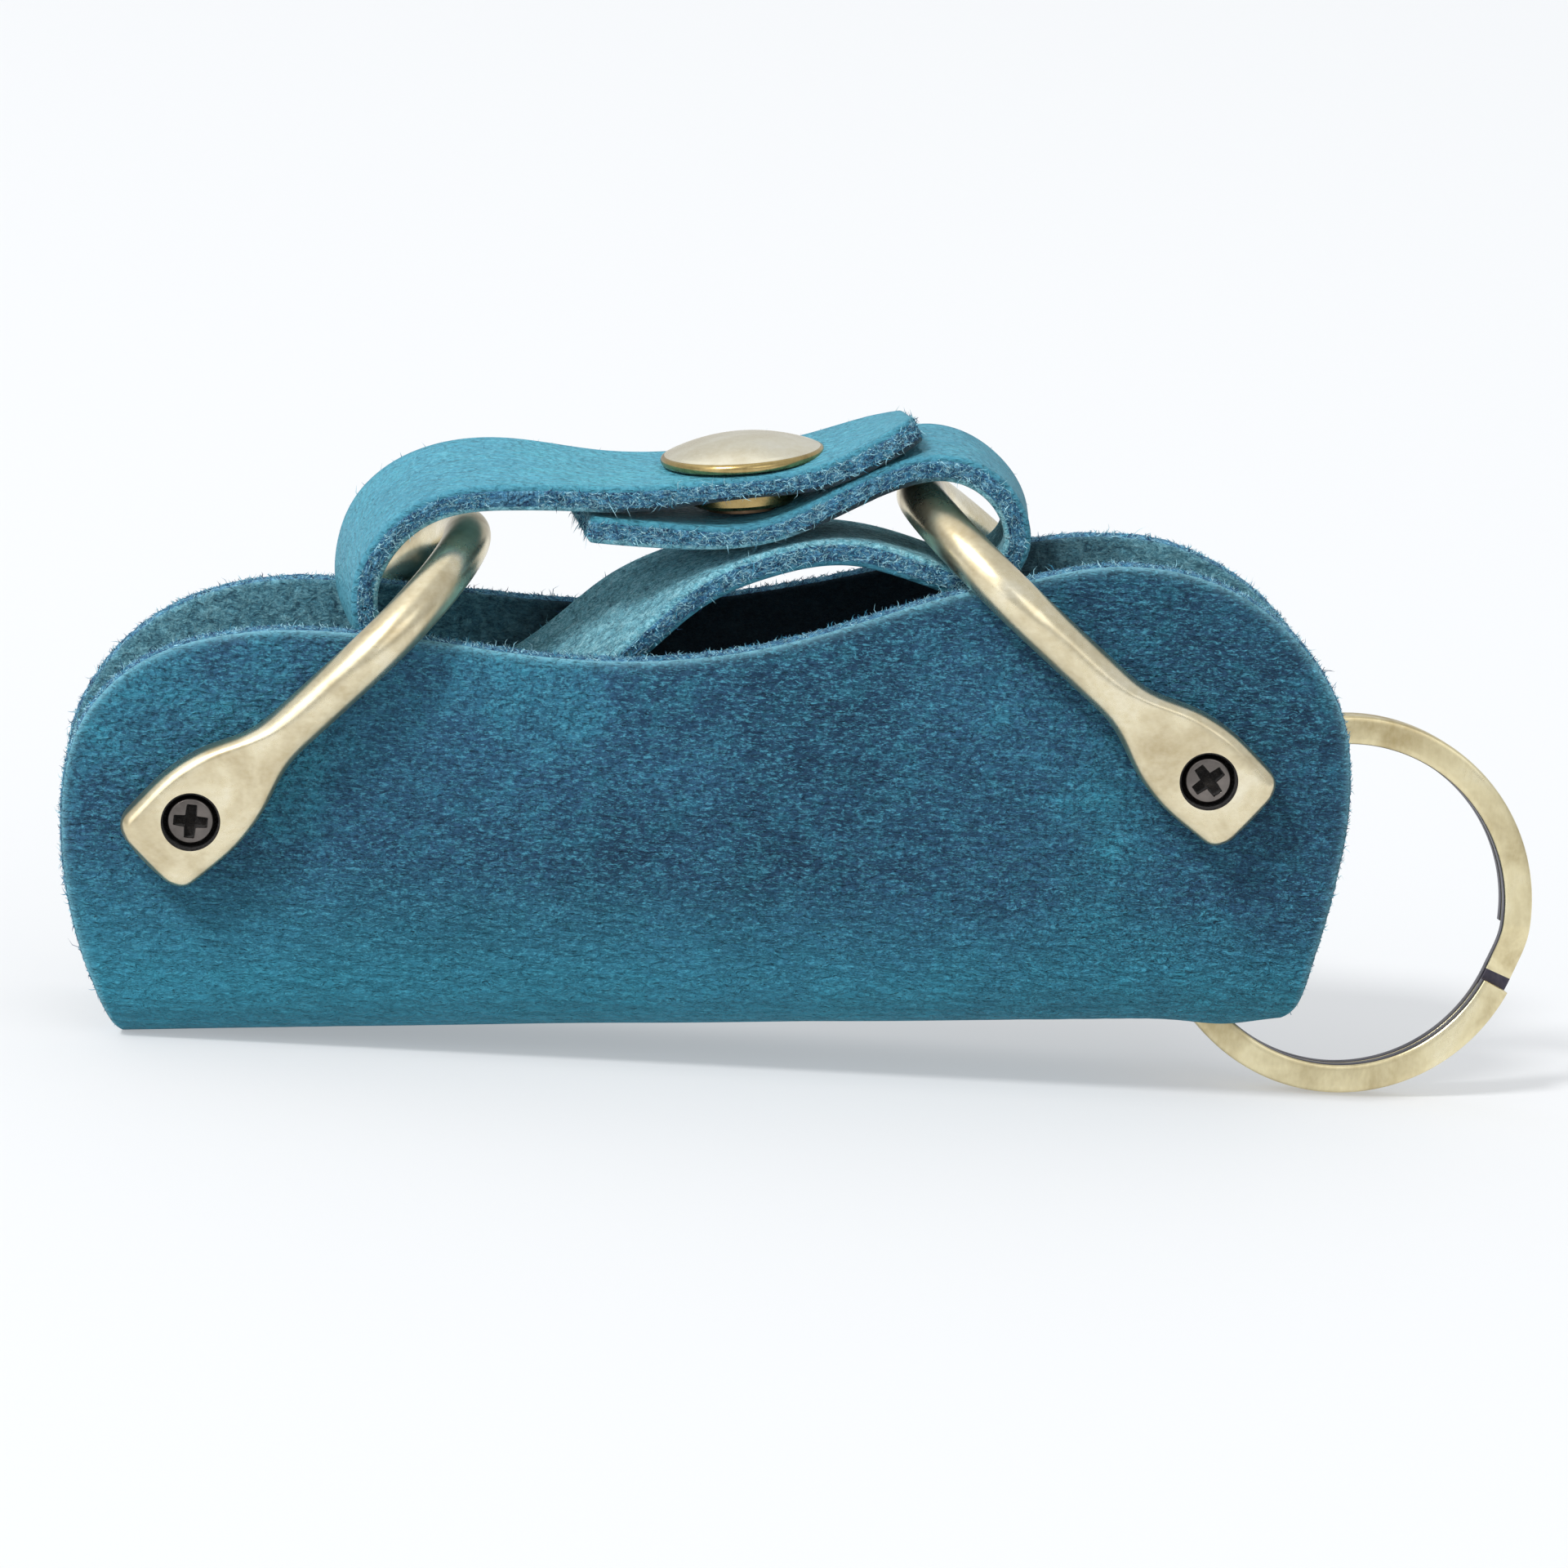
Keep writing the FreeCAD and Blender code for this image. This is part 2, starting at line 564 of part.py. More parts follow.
make_case()
make_eyelet()
make_shackle("left_shackle", "left", App.Rotation(V(0, 1, 0), -dim["left_lean"]))
half_turn_over = App.Rotation(V(0, 0, 1), 180)
make_shackle("right_shackle", "right", App.Rotation(V(0, 1, 0), dim["right_lean"]).multiply(half_turn_over))
for side_name, front_turn, rear_turn in (("left", 8, 20), ("right", 50, 65)):
    make_post(side_name)
    make_screw(side_name, "front", front_turn)
    make_screw(side_name, "rear", rear_turn)
stud_hole = "dims.stud_rivet_dia + 2 * dims.snap_play"
recess_dia = "dims.stud_rivet_flange_dia + 2 * dims.snap_play"
make_band("strap", STRAP_ROUTE, stud_hole, recess_dia)
make_band("strap_tongue", TONGUE_ROUTE, "dims.rivet_dia + 2 * dims.snap_play")
make_press_stud()
make_ring()
doc.recompute()

NODES = ["case_leather", "eyelet", "eyelet_washer", "left_shackle", "right_shackle", "left_post", "right_post",
         "left_front_screw", "left_rear_screw", "right_front_screw", "right_rear_screw", "strap",
         "strap_tongue", "snap_stud", "snap_stud_rivet", "snap_socket", "socket_spring", "snap_cap",
         "split_ring"]

for item in doc.Objects:
    if "Invalid" in item.State or "Error" in item.State:
        raise RuntimeError("%s failed: %s" % (item.Name, item.State))

os.makedirs("parts", exist_ok=True)
for node in NODES:
    item = doc.getObjectsByLabel(node)[0]
    shape = item.Shape
    if shape.isNull() or not shape.isValid() or len(shape.Solids) != 1:
        raise RuntimeError("%s is not one valid solid" % node)
    shape.exportStep("parts/%s.step" % node)
    box = shape.BoundBox
    print("%-18s %9.2f mm3  x %7.2f %7.2f  y %6.2f %6.2f  z %6.2f %6.2f"
          % (node, shape.Volume, box.XMin, box.XMax, box.YMin, box.YMax, box.ZMin, box.ZMax))

print("lean of the case on its stand %.4f degrees" % math.degrees(TILT))
KEY_POINTS = {
    "case frame origin": V(0, 0, 0),
    "left post": V(dim["left_post_x"], 0, dim["left_post_z"]),
    "right post": V(dim["right_post_x"], 0, dim["right_post_z"]),
    "eyelet": V(dim["eyelet_x"], 0, dim["leather_thick"] / 2),
    "ring centre": RING_CENTRE,
    "snap foot": SNAP_FOOT,
}
for name, point in KEY_POINTS.items():
    spot = STAND.multVec(point)
    print("%-18s %9.4f %9.4f %9.4f" % (name, spot.x, spot.y, spot.z))
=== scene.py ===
import math

import bpy
import bmesh
import numpy as np
from mathutils import Matrix, Vector


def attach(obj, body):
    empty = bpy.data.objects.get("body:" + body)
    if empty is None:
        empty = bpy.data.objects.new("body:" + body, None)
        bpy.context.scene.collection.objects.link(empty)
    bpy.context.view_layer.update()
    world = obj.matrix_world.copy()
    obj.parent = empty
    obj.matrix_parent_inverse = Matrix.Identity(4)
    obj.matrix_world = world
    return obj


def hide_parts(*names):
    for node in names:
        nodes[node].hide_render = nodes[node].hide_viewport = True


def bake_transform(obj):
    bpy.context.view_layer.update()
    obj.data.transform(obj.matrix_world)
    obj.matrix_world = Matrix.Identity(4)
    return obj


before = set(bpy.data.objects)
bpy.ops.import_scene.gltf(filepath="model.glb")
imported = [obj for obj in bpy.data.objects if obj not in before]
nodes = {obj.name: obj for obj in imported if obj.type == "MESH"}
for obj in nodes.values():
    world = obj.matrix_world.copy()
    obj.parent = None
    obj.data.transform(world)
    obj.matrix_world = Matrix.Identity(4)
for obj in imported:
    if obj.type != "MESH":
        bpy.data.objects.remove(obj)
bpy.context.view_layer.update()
print("frame loaded:", len(nodes), "nodes")

# The case is drawn level, in millimetres, and then leans on its left corner and on the ring.
stand = {"leanDegrees": 4.5502, "caseOriginX": -7.1413, "caseOriginZ": 3.6176}
lean = math.radians(stand["leanDegrees"])


def toRow(points):
    # turn about Y by the lean, shift to the case's origin, millimetres to metres
    p = np.asarray(points, float)
    x = p[..., 0] * math.cos(lean) - p[..., 2] * math.sin(lean) + stand["caseOriginX"]
    z = p[..., 0] * math.sin(lean) + p[..., 2] * math.cos(lean) + stand["caseOriginZ"]
    return np.stack([x, p[..., 1], z], axis=-1) * 0.001


def turnToRow(direction):
    # the same turn for a direction
    x, y, z = direction
    return Vector((x * math.cos(lean) - z * math.sin(lean), y, x * math.sin(lean) + z * math.cos(lean)))


# ---- curves and meshes ----

def smoothCurve(points, count):
    # natural cubic spline through the points, by chord length, at evenly spaced places along it
    p = np.asarray(points, float)
    chord = np.concatenate([[0.0], np.cumsum(np.linalg.norm(np.diff(p, axis=0), axis=1))])
    return splineAt(chord, p, np.linspace(0.0, chord[-1], count))


def splineAt(knots, values, where):
    # natural cubic spline through values at knots, read at where
    k = np.asarray(knots, float)
    v = np.asarray(values, float)
    flat = v.ndim == 1
    v = v.reshape(len(k), -1)
    n = len(k)
    h = np.diff(k)
    slope = np.diff(v, axis=0) / h[:, None]
    system = np.eye(n)
    rhs = np.zeros_like(v)
    inner = np.arange(1, n - 1)
    system[inner, inner - 1] = h[:-1]
    system[inner, inner] = 2 * (h[:-1] + h[1:])
    system[inner, inner + 1] = h[1:]
    rhs[1:-1] = 6 * (slope[1:] - slope[:-1])
    bend = np.linalg.solve(system, rhs)
    w = np.clip(np.asarray(where, float), k[0], k[-1])
    i = np.clip(np.searchsorted(k, w, side="right") - 1, 0, n - 2)
    a = ((k[i + 1] - w) / h[i])[:, None]
    b = 1 - a
    bump = ((a ** 3 - a) * bend[i] + (b ** 3 - b) * bend[i + 1]) * (h[i] ** 2)[:, None] / 6
    out = a * v[i] + b * v[i + 1] + bump
    return out[:, 0] if flat else out


def smoothStep(x, low, high):
    t = np.clip((np.asarray(x, float) - low) / (high - low), 0.0, 1.0)
    return t * t * (3 - 2 * t)


def waves(x, y, seed, size, count=7):
    # gentle unevenness between -1 and 1: a sum of sines in random directions, about size across
    rng = np.random.default_rng(seed)
    total = np.zeros(np.broadcast(x, y).shape)
    for angle, phase, stretch in zip(rng.uniform(0, math.pi, count), rng.uniform(0, 6.283, count),
                                     rng.uniform(0.7, 1.6, count)):
        along = np.asarray(x) * math.cos(angle) + np.asarray(y) * math.sin(angle)
        total = total + np.sin(along * 6.283 / (size * stretch) + phase)
    return total / count * 1.6


def gridFaces(rows, columns, closeRows=False, closeColumns=False):
    # quads between neighbouring grid points, round to the first row or column again where it closes
    r = np.arange(rows if closeRows else rows - 1)
    c = np.arange(columns if closeColumns else columns - 1)
    r, c = np.meshgrid(r, c, indexing="ij")
    r1 = (r + 1) % rows
    c1 = (c + 1) % columns
    corners = [r * columns + c, r1 * columns + c, r1 * columns + c1, r * columns + c1]
    return np.stack(corners, -1).reshape(-1, 4)


def makeObject(name, points, faces, materials, faceMaterial=None, sharp=40.0, merge=1e-7, sides=None):
    # mesh from arrays in row-frame metres; doubles merged, normals outwards, smooth but for sharp corners
    mesh = bpy.data.meshes.new(name)
    mesh.from_pydata(np.asarray(points).tolist(), [], [tuple(f) for f in np.asarray(faces).tolist()])
    for material in materials:
        mesh.materials.append(material)
    if faceMaterial is not None:
        mesh.polygons.foreach_set("material_index", np.asarray(faceMaterial, np.int32))
    if sides is not None:
        attribute = mesh.attributes.new("edgeNear", "FLOAT", "POINT")
        attribute.data.foreach_set("value", np.asarray(sides, np.float32))
    work = bmesh.new()
    work.from_mesh(mesh)
    bmesh.ops.remove_doubles(work, verts=work.verts, dist=merge)
    bmesh.ops.dissolve_degenerate(work, dist=1e-9, edges=work.edges)
    bmesh.ops.recalc_face_normals(work, faces=work.faces)
    work.to_mesh(mesh)
    work.free()
    mesh.shade_smooth()
    mesh.set_sharp_from_angle(angle=math.radians(sharp))
    item = bpy.data.objects.new(name, mesh)
    bpy.context.scene.collection.objects.link(item)
    return item


def lathe(profile, centre, axis, turns=96):
    # points (radius, height) carried round the axis from centre, both in row-frame metres
    axis = np.array(Vector(axis).normalized())
    side = np.cross(axis, [0.0, 1.0, 0.0] if abs(axis[1]) < 0.9 else [1.0, 0.0, 0.0])
    side /= np.linalg.norm(side)
    other = np.cross(axis, side)
    angle = np.linspace(0, 2 * math.pi, turns, endpoint=False)
    p = np.asarray(profile, float)
    ring = np.cos(angle)[None, :, None] * side + np.sin(angle)[None, :, None] * other
    points = np.asarray(centre) + p[:, 0, None, None] * ring + p[:, 1, None, None] * axis
    return points.reshape(-1, 3), gridFaces(len(p), turns, closeColumns=True)


def cutWith(item, cutter):
    # takes the cutter's shape out of the item and removes the cutter
    modifier = item.modifiers.new("hole", "BOOLEAN")
    modifier.operation = "DIFFERENCE"
    modifier.solver = "EXACT"
    modifier.material_mode = "TRANSFER"
    modifier.object = cutter
    bpy.context.view_layer.update()
    cut = bpy.data.meshes.new_from_object(item.evaluated_get(bpy.context.evaluated_depsgraph_get()))
    item.modifiers.clear()
    old = item.data
    item.data = cut
    item.data.name = item.name
    bpy.data.meshes.remove(old)
    bpy.data.objects.remove(cutter)
    item.data.shade_smooth()
    item.data.set_sharp_from_angle(angle=math.radians(35))


# ---- finishes ----

def newMaterial(name):
    material = bpy.data.materials.new(name)
    material.use_nodes = True
    tree = material.node_tree
    shader = tree.nodes["Principled BSDF"]
    return material, tree, shader


def addNode(tree, kind, inputs=(), **settings):
    # a node with its settings made; each input, by name or number, is linked from a socket or set to a value
    node = tree.nodes.new(kind)
    for key, value in settings.items():
        setattr(node, key, value)
    for socket, value in dict(inputs).items():
        if isinstance(value, bpy.types.NodeSocket):
            tree.links.new(value, node.inputs[socket])
        else:
            node.inputs[socket].default_value = value
    return node


def objectSpace(tree, stretch=(1, 1, 1), turn=(0, 0, 0)):
    place = tree.nodes.new("ShaderNodeTexCoord")
    return addNode(tree, "ShaderNodeMapping", {"Vector": place.outputs["Object"], "Scale": stretch,
                                               "Rotation": turn}).outputs["Vector"]


def noise(tree, vector, scale, detail=4.0, rough=0.55, distort=0.0):
    return addNode(tree, "ShaderNodeTexNoise", {"Vector": vector, "Scale": scale, "Detail": detail,
                                                "Roughness": rough, "Distortion": distort}).outputs["Fac"]


def ramp(tree, value, stops):
    node = addNode(tree, "ShaderNodeValToRGB", {"Fac": value})
    node.color_ramp.elements[0].position = stops[0][0]
    node.color_ramp.elements[0].color = (*stops[0][1], 1)
    node.color_ramp.elements[1].position = stops[-1][0]
    node.color_ramp.elements[1].color = (*stops[-1][1], 1)
    for position, colour in stops[1:-1]:
        node.color_ramp.elements.new(position).color = (*colour, 1)
    return node.outputs["Color"]


def mixColour(tree, share, a, b):
    # a where the share is 0 and b where it is 1; each is a socket or three numbers
    a, b = (colour if isinstance(colour, bpy.types.NodeSocket) else (*colour, 1) for colour in (a, b))
    return addNode(tree, "ShaderNodeMix", {0: share, 6: a, 7: b}, data_type="RGBA").outputs[2]


def math2(tree, how, a, b=0.0):
    return addNode(tree, "ShaderNodeMath", {0: a, 1: b}, operation=how).outputs[0]


def remap(tree, value, low, high, toLow, toHigh):
    return addNode(tree, "ShaderNodeMapRange", {"Value": value, "From Min": low, "From Max": high,
                                                "To Min": toLow, "To Max": toHigh}).outputs["Result"]


def bump(tree, height, distance, strength=1.0, before=None):
    node = addNode(tree, "ShaderNodeBump", {"Height": height, "Distance": distance, "Strength": strength})
    if before is not None:
        tree.links.new(before, node.inputs["Normal"])
    return node.outputs["Normal"]


# the scales count how many of a pattern fit in a metre, and the depths are in metres
hideLook = {
    "deep": (0.006, 0.034, 0.074), "body": (0.024, 0.099, 0.186), "pale": (0.072, 0.310, 0.425),
    "green": (0.034, 0.285, 0.390), "edgePale": (0.22, 0.50, 0.60), "edgeShare": 0.8, "roughness": 0.60,
    "cloudScale": 38.0, "mottleScale": 420.0, "creaseScale": 1150.0, "grainScale": 2300.0,
    "speckScale": 3600.0, "napScale": 4900.0, "grainDepth": 0.00035, "creaseDepth": 0.0018,
    "napDepth": 0.00012,
    # the nap lies in three directions, each a turn about Y and a stretch along it
    "napLies": ((0.30, 0.32), (-0.75, 0.30), (1.25, 0.36))}


def makeHide(name, look):
    # oiled nubuck: soft clouds of darker blue, a short streaky nap, pebbled grain; painted light makes the
    # low fold greener and lighter, and painted shade darkens the crease valleys
    material, tree, shader = newMaterial(name)
    place = objectSpace(tree)
    clouds = noise(tree, place, look["cloudScale"], 3.0, 0.6)
    mottle = noise(tree, place, look["mottleScale"], 5.0, 0.62, 0.6)
    tone = ramp(tree, clouds, [(0.36, look["deep"]), (0.52, look["body"]), (0.72, look["green"])])
    spots = ramp(tree, mottle, [(0.38, look["deep"]), (0.50, look["body"]), (0.63, look["green"])])
    tone = mixColour(tree, 0.26, tone, spots)
    nap = None
    for turn, stretch in look["napLies"]:
        lying = objectSpace(tree, (stretch, 1.0, 1.0), (0, turn, 0))
        lie = noise(tree, lying, look["napScale"], 2.0, 0.6, 0.8)
        nap = lie if nap is None else math2(tree, "MAXIMUM", nap, lie)
    hairs = remap(tree, nap, 0.56, 0.67, 0.0, 1.0)
    tone = mixColour(tree, math2(tree, "MULTIPLY", hairs, 0.72), tone, look["pale"])
    specks = noise(tree, place, look["speckScale"], 2.0, 0.6)
    tone = mixColour(tree, remap(tree, specks, 0.50, 0.40, 0.0, 0.60), tone, look["deep"])
    height = tree.nodes.new("ShaderNodeSeparateXYZ")
    tree.links.new(place, height.inputs[0])
    crease = noise(tree, objectSpace(tree, stretch=(0.45, 1.0, 1.5)), look["creaseScale"], 4.0, 0.6, 1.2)
    # creases are deepest low down at the right, where the hide bends round the eyelet
    across = remap(tree, height.outputs[0], -0.010, 0.045, 0.45, 1.0)
    down = remap(tree, height.outputs[2], 0.034, 0.012, 0.45, 1.0)
    where = math2(tree, "MULTIPLY", across, down)
    # dark lines along the crease valleys: painted shade in the creases
    paintedCreaseShade = remap(tree, math2(tree, "ABSOLUTE", math2(tree, "SUBTRACT", crease, 0.47)), 0.0, 0.045, 1.0, 0.0)
    tone = mixColour(tree, math2(tree, "MULTIPLY", paintedCreaseShade, where), tone, look["deep"])
    # lighter and greener low on the fold: painted light
    if "paintedLightHeight" in look:
        unevenness = math2(tree, "MULTIPLY", math2(tree, "SUBTRACT", mottle, 0.5), 0.012)
        ragged = math2(tree, "ADD", height.outputs[2], unevenness)
        low = remap(tree, ragged, look["paintedLightHeight"], look["paintedLightHeight"] + 0.012, 0.60, 0.0)
        tone = mixColour(tree, low, tone, look["green"])
    near = addNode(tree, "ShaderNodeAttribute", attribute_name="edgeNear").outputs["Fac"]
    tone = mixColour(tree, math2(tree, "MULTIPLY", near, look["edgeShare"]), tone, look["edgePale"])
    tree.links.new(tone, shader.inputs["Base Color"])
    shader.inputs["Roughness"].default_value = look["roughness"]
    shader.inputs["Specular IOR Level"].default_value = 0.20
    warped = objectSpace(tree, stretch=(0.8, 1.0, 1.15))
    cells = addNode(tree, "ShaderNodeTexVoronoi", {"Vector": warped, "Scale": look["grainScale"],
                                                   "Randomness": 1.0}, feature="SMOOTH_F1")
    creased = math2(tree, "MULTIPLY", crease, where)
    first = bump(tree, cells.outputs["Distance"], look["grainDepth"], 1.0)
    second = bump(tree, creased, look["creaseDepth"], 1.0, first)
    third = bump(tree, nap, look["napDepth"], 0.9, second)
    tree.links.new(third, shader.inputs["Normal"])
    return material


def makeFlesh(name, dark, middle, light, shade=None):
    # the suede inner side: short matted fibres, no shine
    material, tree, shader = newMaterial(name)
    place = objectSpace(tree)
    tufts = noise(tree, place, 1100.0, 5.0, 0.7, 0.8)
    fibres = noise(tree, objectSpace(tree, stretch=(0.6, 1.0, 1.4)), 3000.0, 4.0, 0.7, 1.5)
    tone = ramp(tree, tufts, [(0.38, dark), (0.51, middle), (0.64, light)])
    lines = ramp(tree, fibres, [(0.40, dark), (0.50, middle), (0.61, light)])
    tone = mixColour(tree, 0.55, tone, lines)
    if shade:
        # painted nearly black where little light gets in: over one stretch of the length, above one height
        split = tree.nodes.new("ShaderNodeSeparateXYZ")
        tree.links.new(place, split.inputs[0])
        off = math2(tree, "ABSOLUTE", math2(tree, "SUBTRACT", split.outputs[0], shade["middle"]))
        share = remap(tree, off, shade["outer"], shade["inner"], 0.0, shade["share"])
        above = remap(tree, split.outputs[2], shade["low"], shade["low"] + 0.0008, 0.0, 1.0)
        share = math2(tree, "MULTIPLY", share, above)
        tone = mixColour(tree, share, tone, (0.004, 0.012, 0.022))
    tree.links.new(tone, shader.inputs["Base Color"])
    shader.inputs["Roughness"].default_value = 0.95
    shader.inputs["Specular IOR Level"].default_value = 0.12
    shader.inputs["Sheen Weight"].default_value = 0.10
    shader.inputs["Sheen Roughness"].default_value = 0.6
    first = bump(tree, tufts, 0.0007, 1.0)
    tree.links.new(bump(tree, fibres, 0.00018, 0.8, first), shader.inputs["Normal"])
    return material


def makeBrass(name, look):
    # satin plated brass: dull brown film in patches, fine brush marks, paler where rubbed
    material, tree, shader = newMaterial(name)
    place = objectSpace(tree)
    film = noise(tree, place, 160.0, 4.0, 0.6, 0.4)
    brushed = objectSpace(tree, stretch=look["brushStretch"], turn=look["brushTurn"])
    brush = noise(tree, brushed, 2600.0, 3.0, 0.6)
    tone = ramp(tree, film, [(0.30, look["film"]), (0.55, look["metal"]), (0.80, look["rubbed"])])
    tone = mixColour(tree, 0.12, tone, ramp(tree, brush, [(0.35, look["film"]), (0.65, look["rubbed"])]))
    tree.links.new(tone, shader.inputs["Base Color"])
    shader.inputs["Metallic"].default_value = 1.0
    rough = remap(tree, film, 0.3, 0.75, look["roughness"] + 0.08, look["roughness"] - 0.04)
    scratch = math2(tree, "MULTIPLY", math2(tree, "SUBTRACT", brush, 0.5), 0.08)
    tree.links.new(math2(tree, "ADD", rough, scratch), shader.inputs["Roughness"])
    first = bump(tree, brush, 0.000012, look["brushDepth"])
    tree.links.new(bump(tree, noise(tree, place, 420.0, 2.0), 0.00003, 0.15, first), shader.inputs["Normal"])
    return material


caseHide = makeHide("caseHide", dict(hideLook, paintedLightHeight=0.004))
strapHide = makeHide("strapHide", dict(
    hideLook, body=(0.085, 0.345, 0.465), pale=(0.150, 0.460, 0.560), green=(0.090, 0.430, 0.510),
    deep=(0.062, 0.250, 0.350), roughness=0.55, edgePale=(0.03, 0.16, 0.24), edgeShare=0.6))
# the case's inner side is the suede darkened all over: painted shade inside the case, with more painted shade
# over the middle stretch
shadedCaseFlesh = makeFlesh("shadedCaseFlesh", (0.018, 0.075, 0.120), (0.085, 0.270, 0.350), (0.27, 0.56, 0.65),
                      {"middle": -0.003, "inner": 0.016, "outer": 0.028, "low": 0.0, "share": 0.93})
strapFlesh = makeFlesh("strapFlesh", (0.030, 0.130, 0.200), (0.17, 0.520, 0.640), (0.50, 0.88, 0.97),
                       {"middle": -0.006, "inner": 0.011, "outer": 0.015, "low": 0.0430, "share": 0.93})
cutEdge = makeFlesh("cutEdge", (0.008, 0.045, 0.135), (0.050, 0.220, 0.390), (0.26, 0.62, 0.80))
fibreTones = [makeFlesh("fibrePale", (0.24, 0.58, 0.74), (0.40, 0.78, 0.90), (0.62, 0.92, 0.98)),
              makeFlesh("fibreTeal", (0.025, 0.20, 0.36), (0.065, 0.34, 0.52), (0.14, 0.50, 0.66)),
              makeFlesh("fibreNavy", (0.010, 0.038, 0.110), (0.024, 0.080, 0.190), (0.05, 0.14, 0.27))]
# near-black finish for the counterbore walls and the screws' cross recesses: painted shade in these hollows
paintedBoreShade = makeFlesh("paintedBoreShade", (0.006, 0.005, 0.005), (0.012, 0.010, 0.009), (0.03, 0.025, 0.02))
# what the metal finishes share: brush marks that run across, unturned
brushedLook = {"brushStretch": (1.0, 0.6, 1.0), "brushTurn": (0, 0, 0)}
shackleBrass = makeBrass("shackleBrass", dict(
    brushedLook, film=(0.50, 0.40, 0.23), metal=(0.80, 0.71, 0.49), rubbed=(0.96, 0.91, 0.75),
    roughness=0.26, brushDepth=0.15, brushStretch=(0.6, 1.0, 1.0), brushTurn=(0, math.radians(-47), 0)))
ringBrass = makeBrass("ringBrass", dict(
    brushedLook, film=(0.50, 0.40, 0.21), metal=(0.86, 0.76, 0.48), rubbed=(0.96, 0.89, 0.66),
    roughness=0.28, brushDepth=0.2, brushStretch=(1.0, 1.0, 0.5), brushTurn=(0, 0.3, 0)))
ringShade = makeBrass("ringShade", dict(
    brushedLook, film=(0.030, 0.030, 0.050), metal=(0.075, 0.070, 0.095), rubbed=(0.20, 0.17, 0.14),
    roughness=0.34, brushDepth=0.2, brushStretch=(1.0, 1.0, 0.6)))
snapBrass = makeBrass("snapBrass", dict(
    brushedLook, film=(0.70, 0.61, 0.42), metal=(0.88, 0.82, 0.64), rubbed=(0.95, 0.92, 0.80),
    roughness=0.22, brushDepth=0.08))
# darker brass: painted shade on the snap socket between the strap layers and a painted dark reflection on the
# cap's rolled rim
paintedShadeBrass = makeBrass("paintedShadeBrass", dict(
    brushedLook, film=(0.24, 0.16, 0.06), metal=(0.46, 0.34, 0.14), rubbed=(0.66, 0.54, 0.28),
    roughness=0.24, brushDepth=0.1))
agedBrass = makeBrass("agedBrass", dict(
    brushedLook, film=(0.16, 0.09, 0.05), metal=(0.34, 0.20, 0.12), rubbed=(0.50, 0.36, 0.22),
    roughness=0.38, brushDepth=0.4, brushStretch=(1.0, 1.0, 0.4)))
screwSteel = makeBrass("screwSteel", dict(
    brushedLook, film=(0.075, 0.066, 0.060), metal=(0.150, 0.135, 0.125), rubbed=(0.25, 0.22, 0.20),
    roughness=0.30, brushDepth=0.3, brushStretch=(1.0, 1.0, 1.0)))
print("finishes made")


# ---- leather sheets ----

def rimShell(middle, normal, half, rimSteps, fuzz, seed):
    # Closed shell round a grid of mid-surface points: one face at middle + normal * half, one at
    # middle - normal * half, and a rough strip of rimSteps rows between them round the grid's border.
    rows, columns = middle.shape[:2]
    rng = np.random.default_rng(seed)
    top = middle + normal * half[..., None]
    under = middle - normal * half[..., None]
    count = rows * columns
    index = np.arange(count).reshape(rows, columns)
    border = np.concatenate([index[0, :-1], index[:-1, -1], index[-1, :0:-1], index[:0:-1, 0]])
    inwards = np.concatenate([index[1, :-1], index[:-1, -2], index[-2, :0:-1], index[:0:-1, 1]])
    flatMiddle, flatNormal = middle.reshape(-1, 3), normal.reshape(-1, 3)
    outwards = flatMiddle[border] - flatMiddle[inwards]
    outwards /= np.maximum(np.linalg.norm(outwards, axis=1, keepdims=True), 1e-9)
    thick = half.reshape(-1)[border]
    level = np.linspace(1, -1, rimSteps + 2)[1:-1]
    bulge = np.sqrt(1 - level ** 2) * 0.10 + 0.02
    push = bulge[:, None] + rng.normal(0, fuzz, (rimSteps, len(border)))
    strip = (flatMiddle[border][None] + flatNormal[border][None] * (thick[None] * level[:, None])[..., None]
             + outwards[None] * push[..., None])
    points = np.concatenate([top.reshape(-1, 3), under.reshape(-1, 3), strip.reshape(-1, 3)])
    quads = gridFaces(rows, columns)
    stripIndex = np.concatenate([border[None], count * 2 + np.arange(rimSteps * len(border)).reshape(
        rimSteps, -1), (border + count)[None]])
    a, b = stripIndex[:-1], stripIndex[1:]
    edge = np.stack([a, b, np.roll(b, -1, axis=1), np.roll(a, -1, axis=1)], -1).reshape(-1, 4)
    faces = np.concatenate([quads, quads + count, edge])
    which = np.concatenate([np.zeros(len(quads)), np.ones(len(quads)), np.full(len(edge), 2)])
    return points, faces, which, (flatMiddle[border], flatNormal[border], outwards, thick)


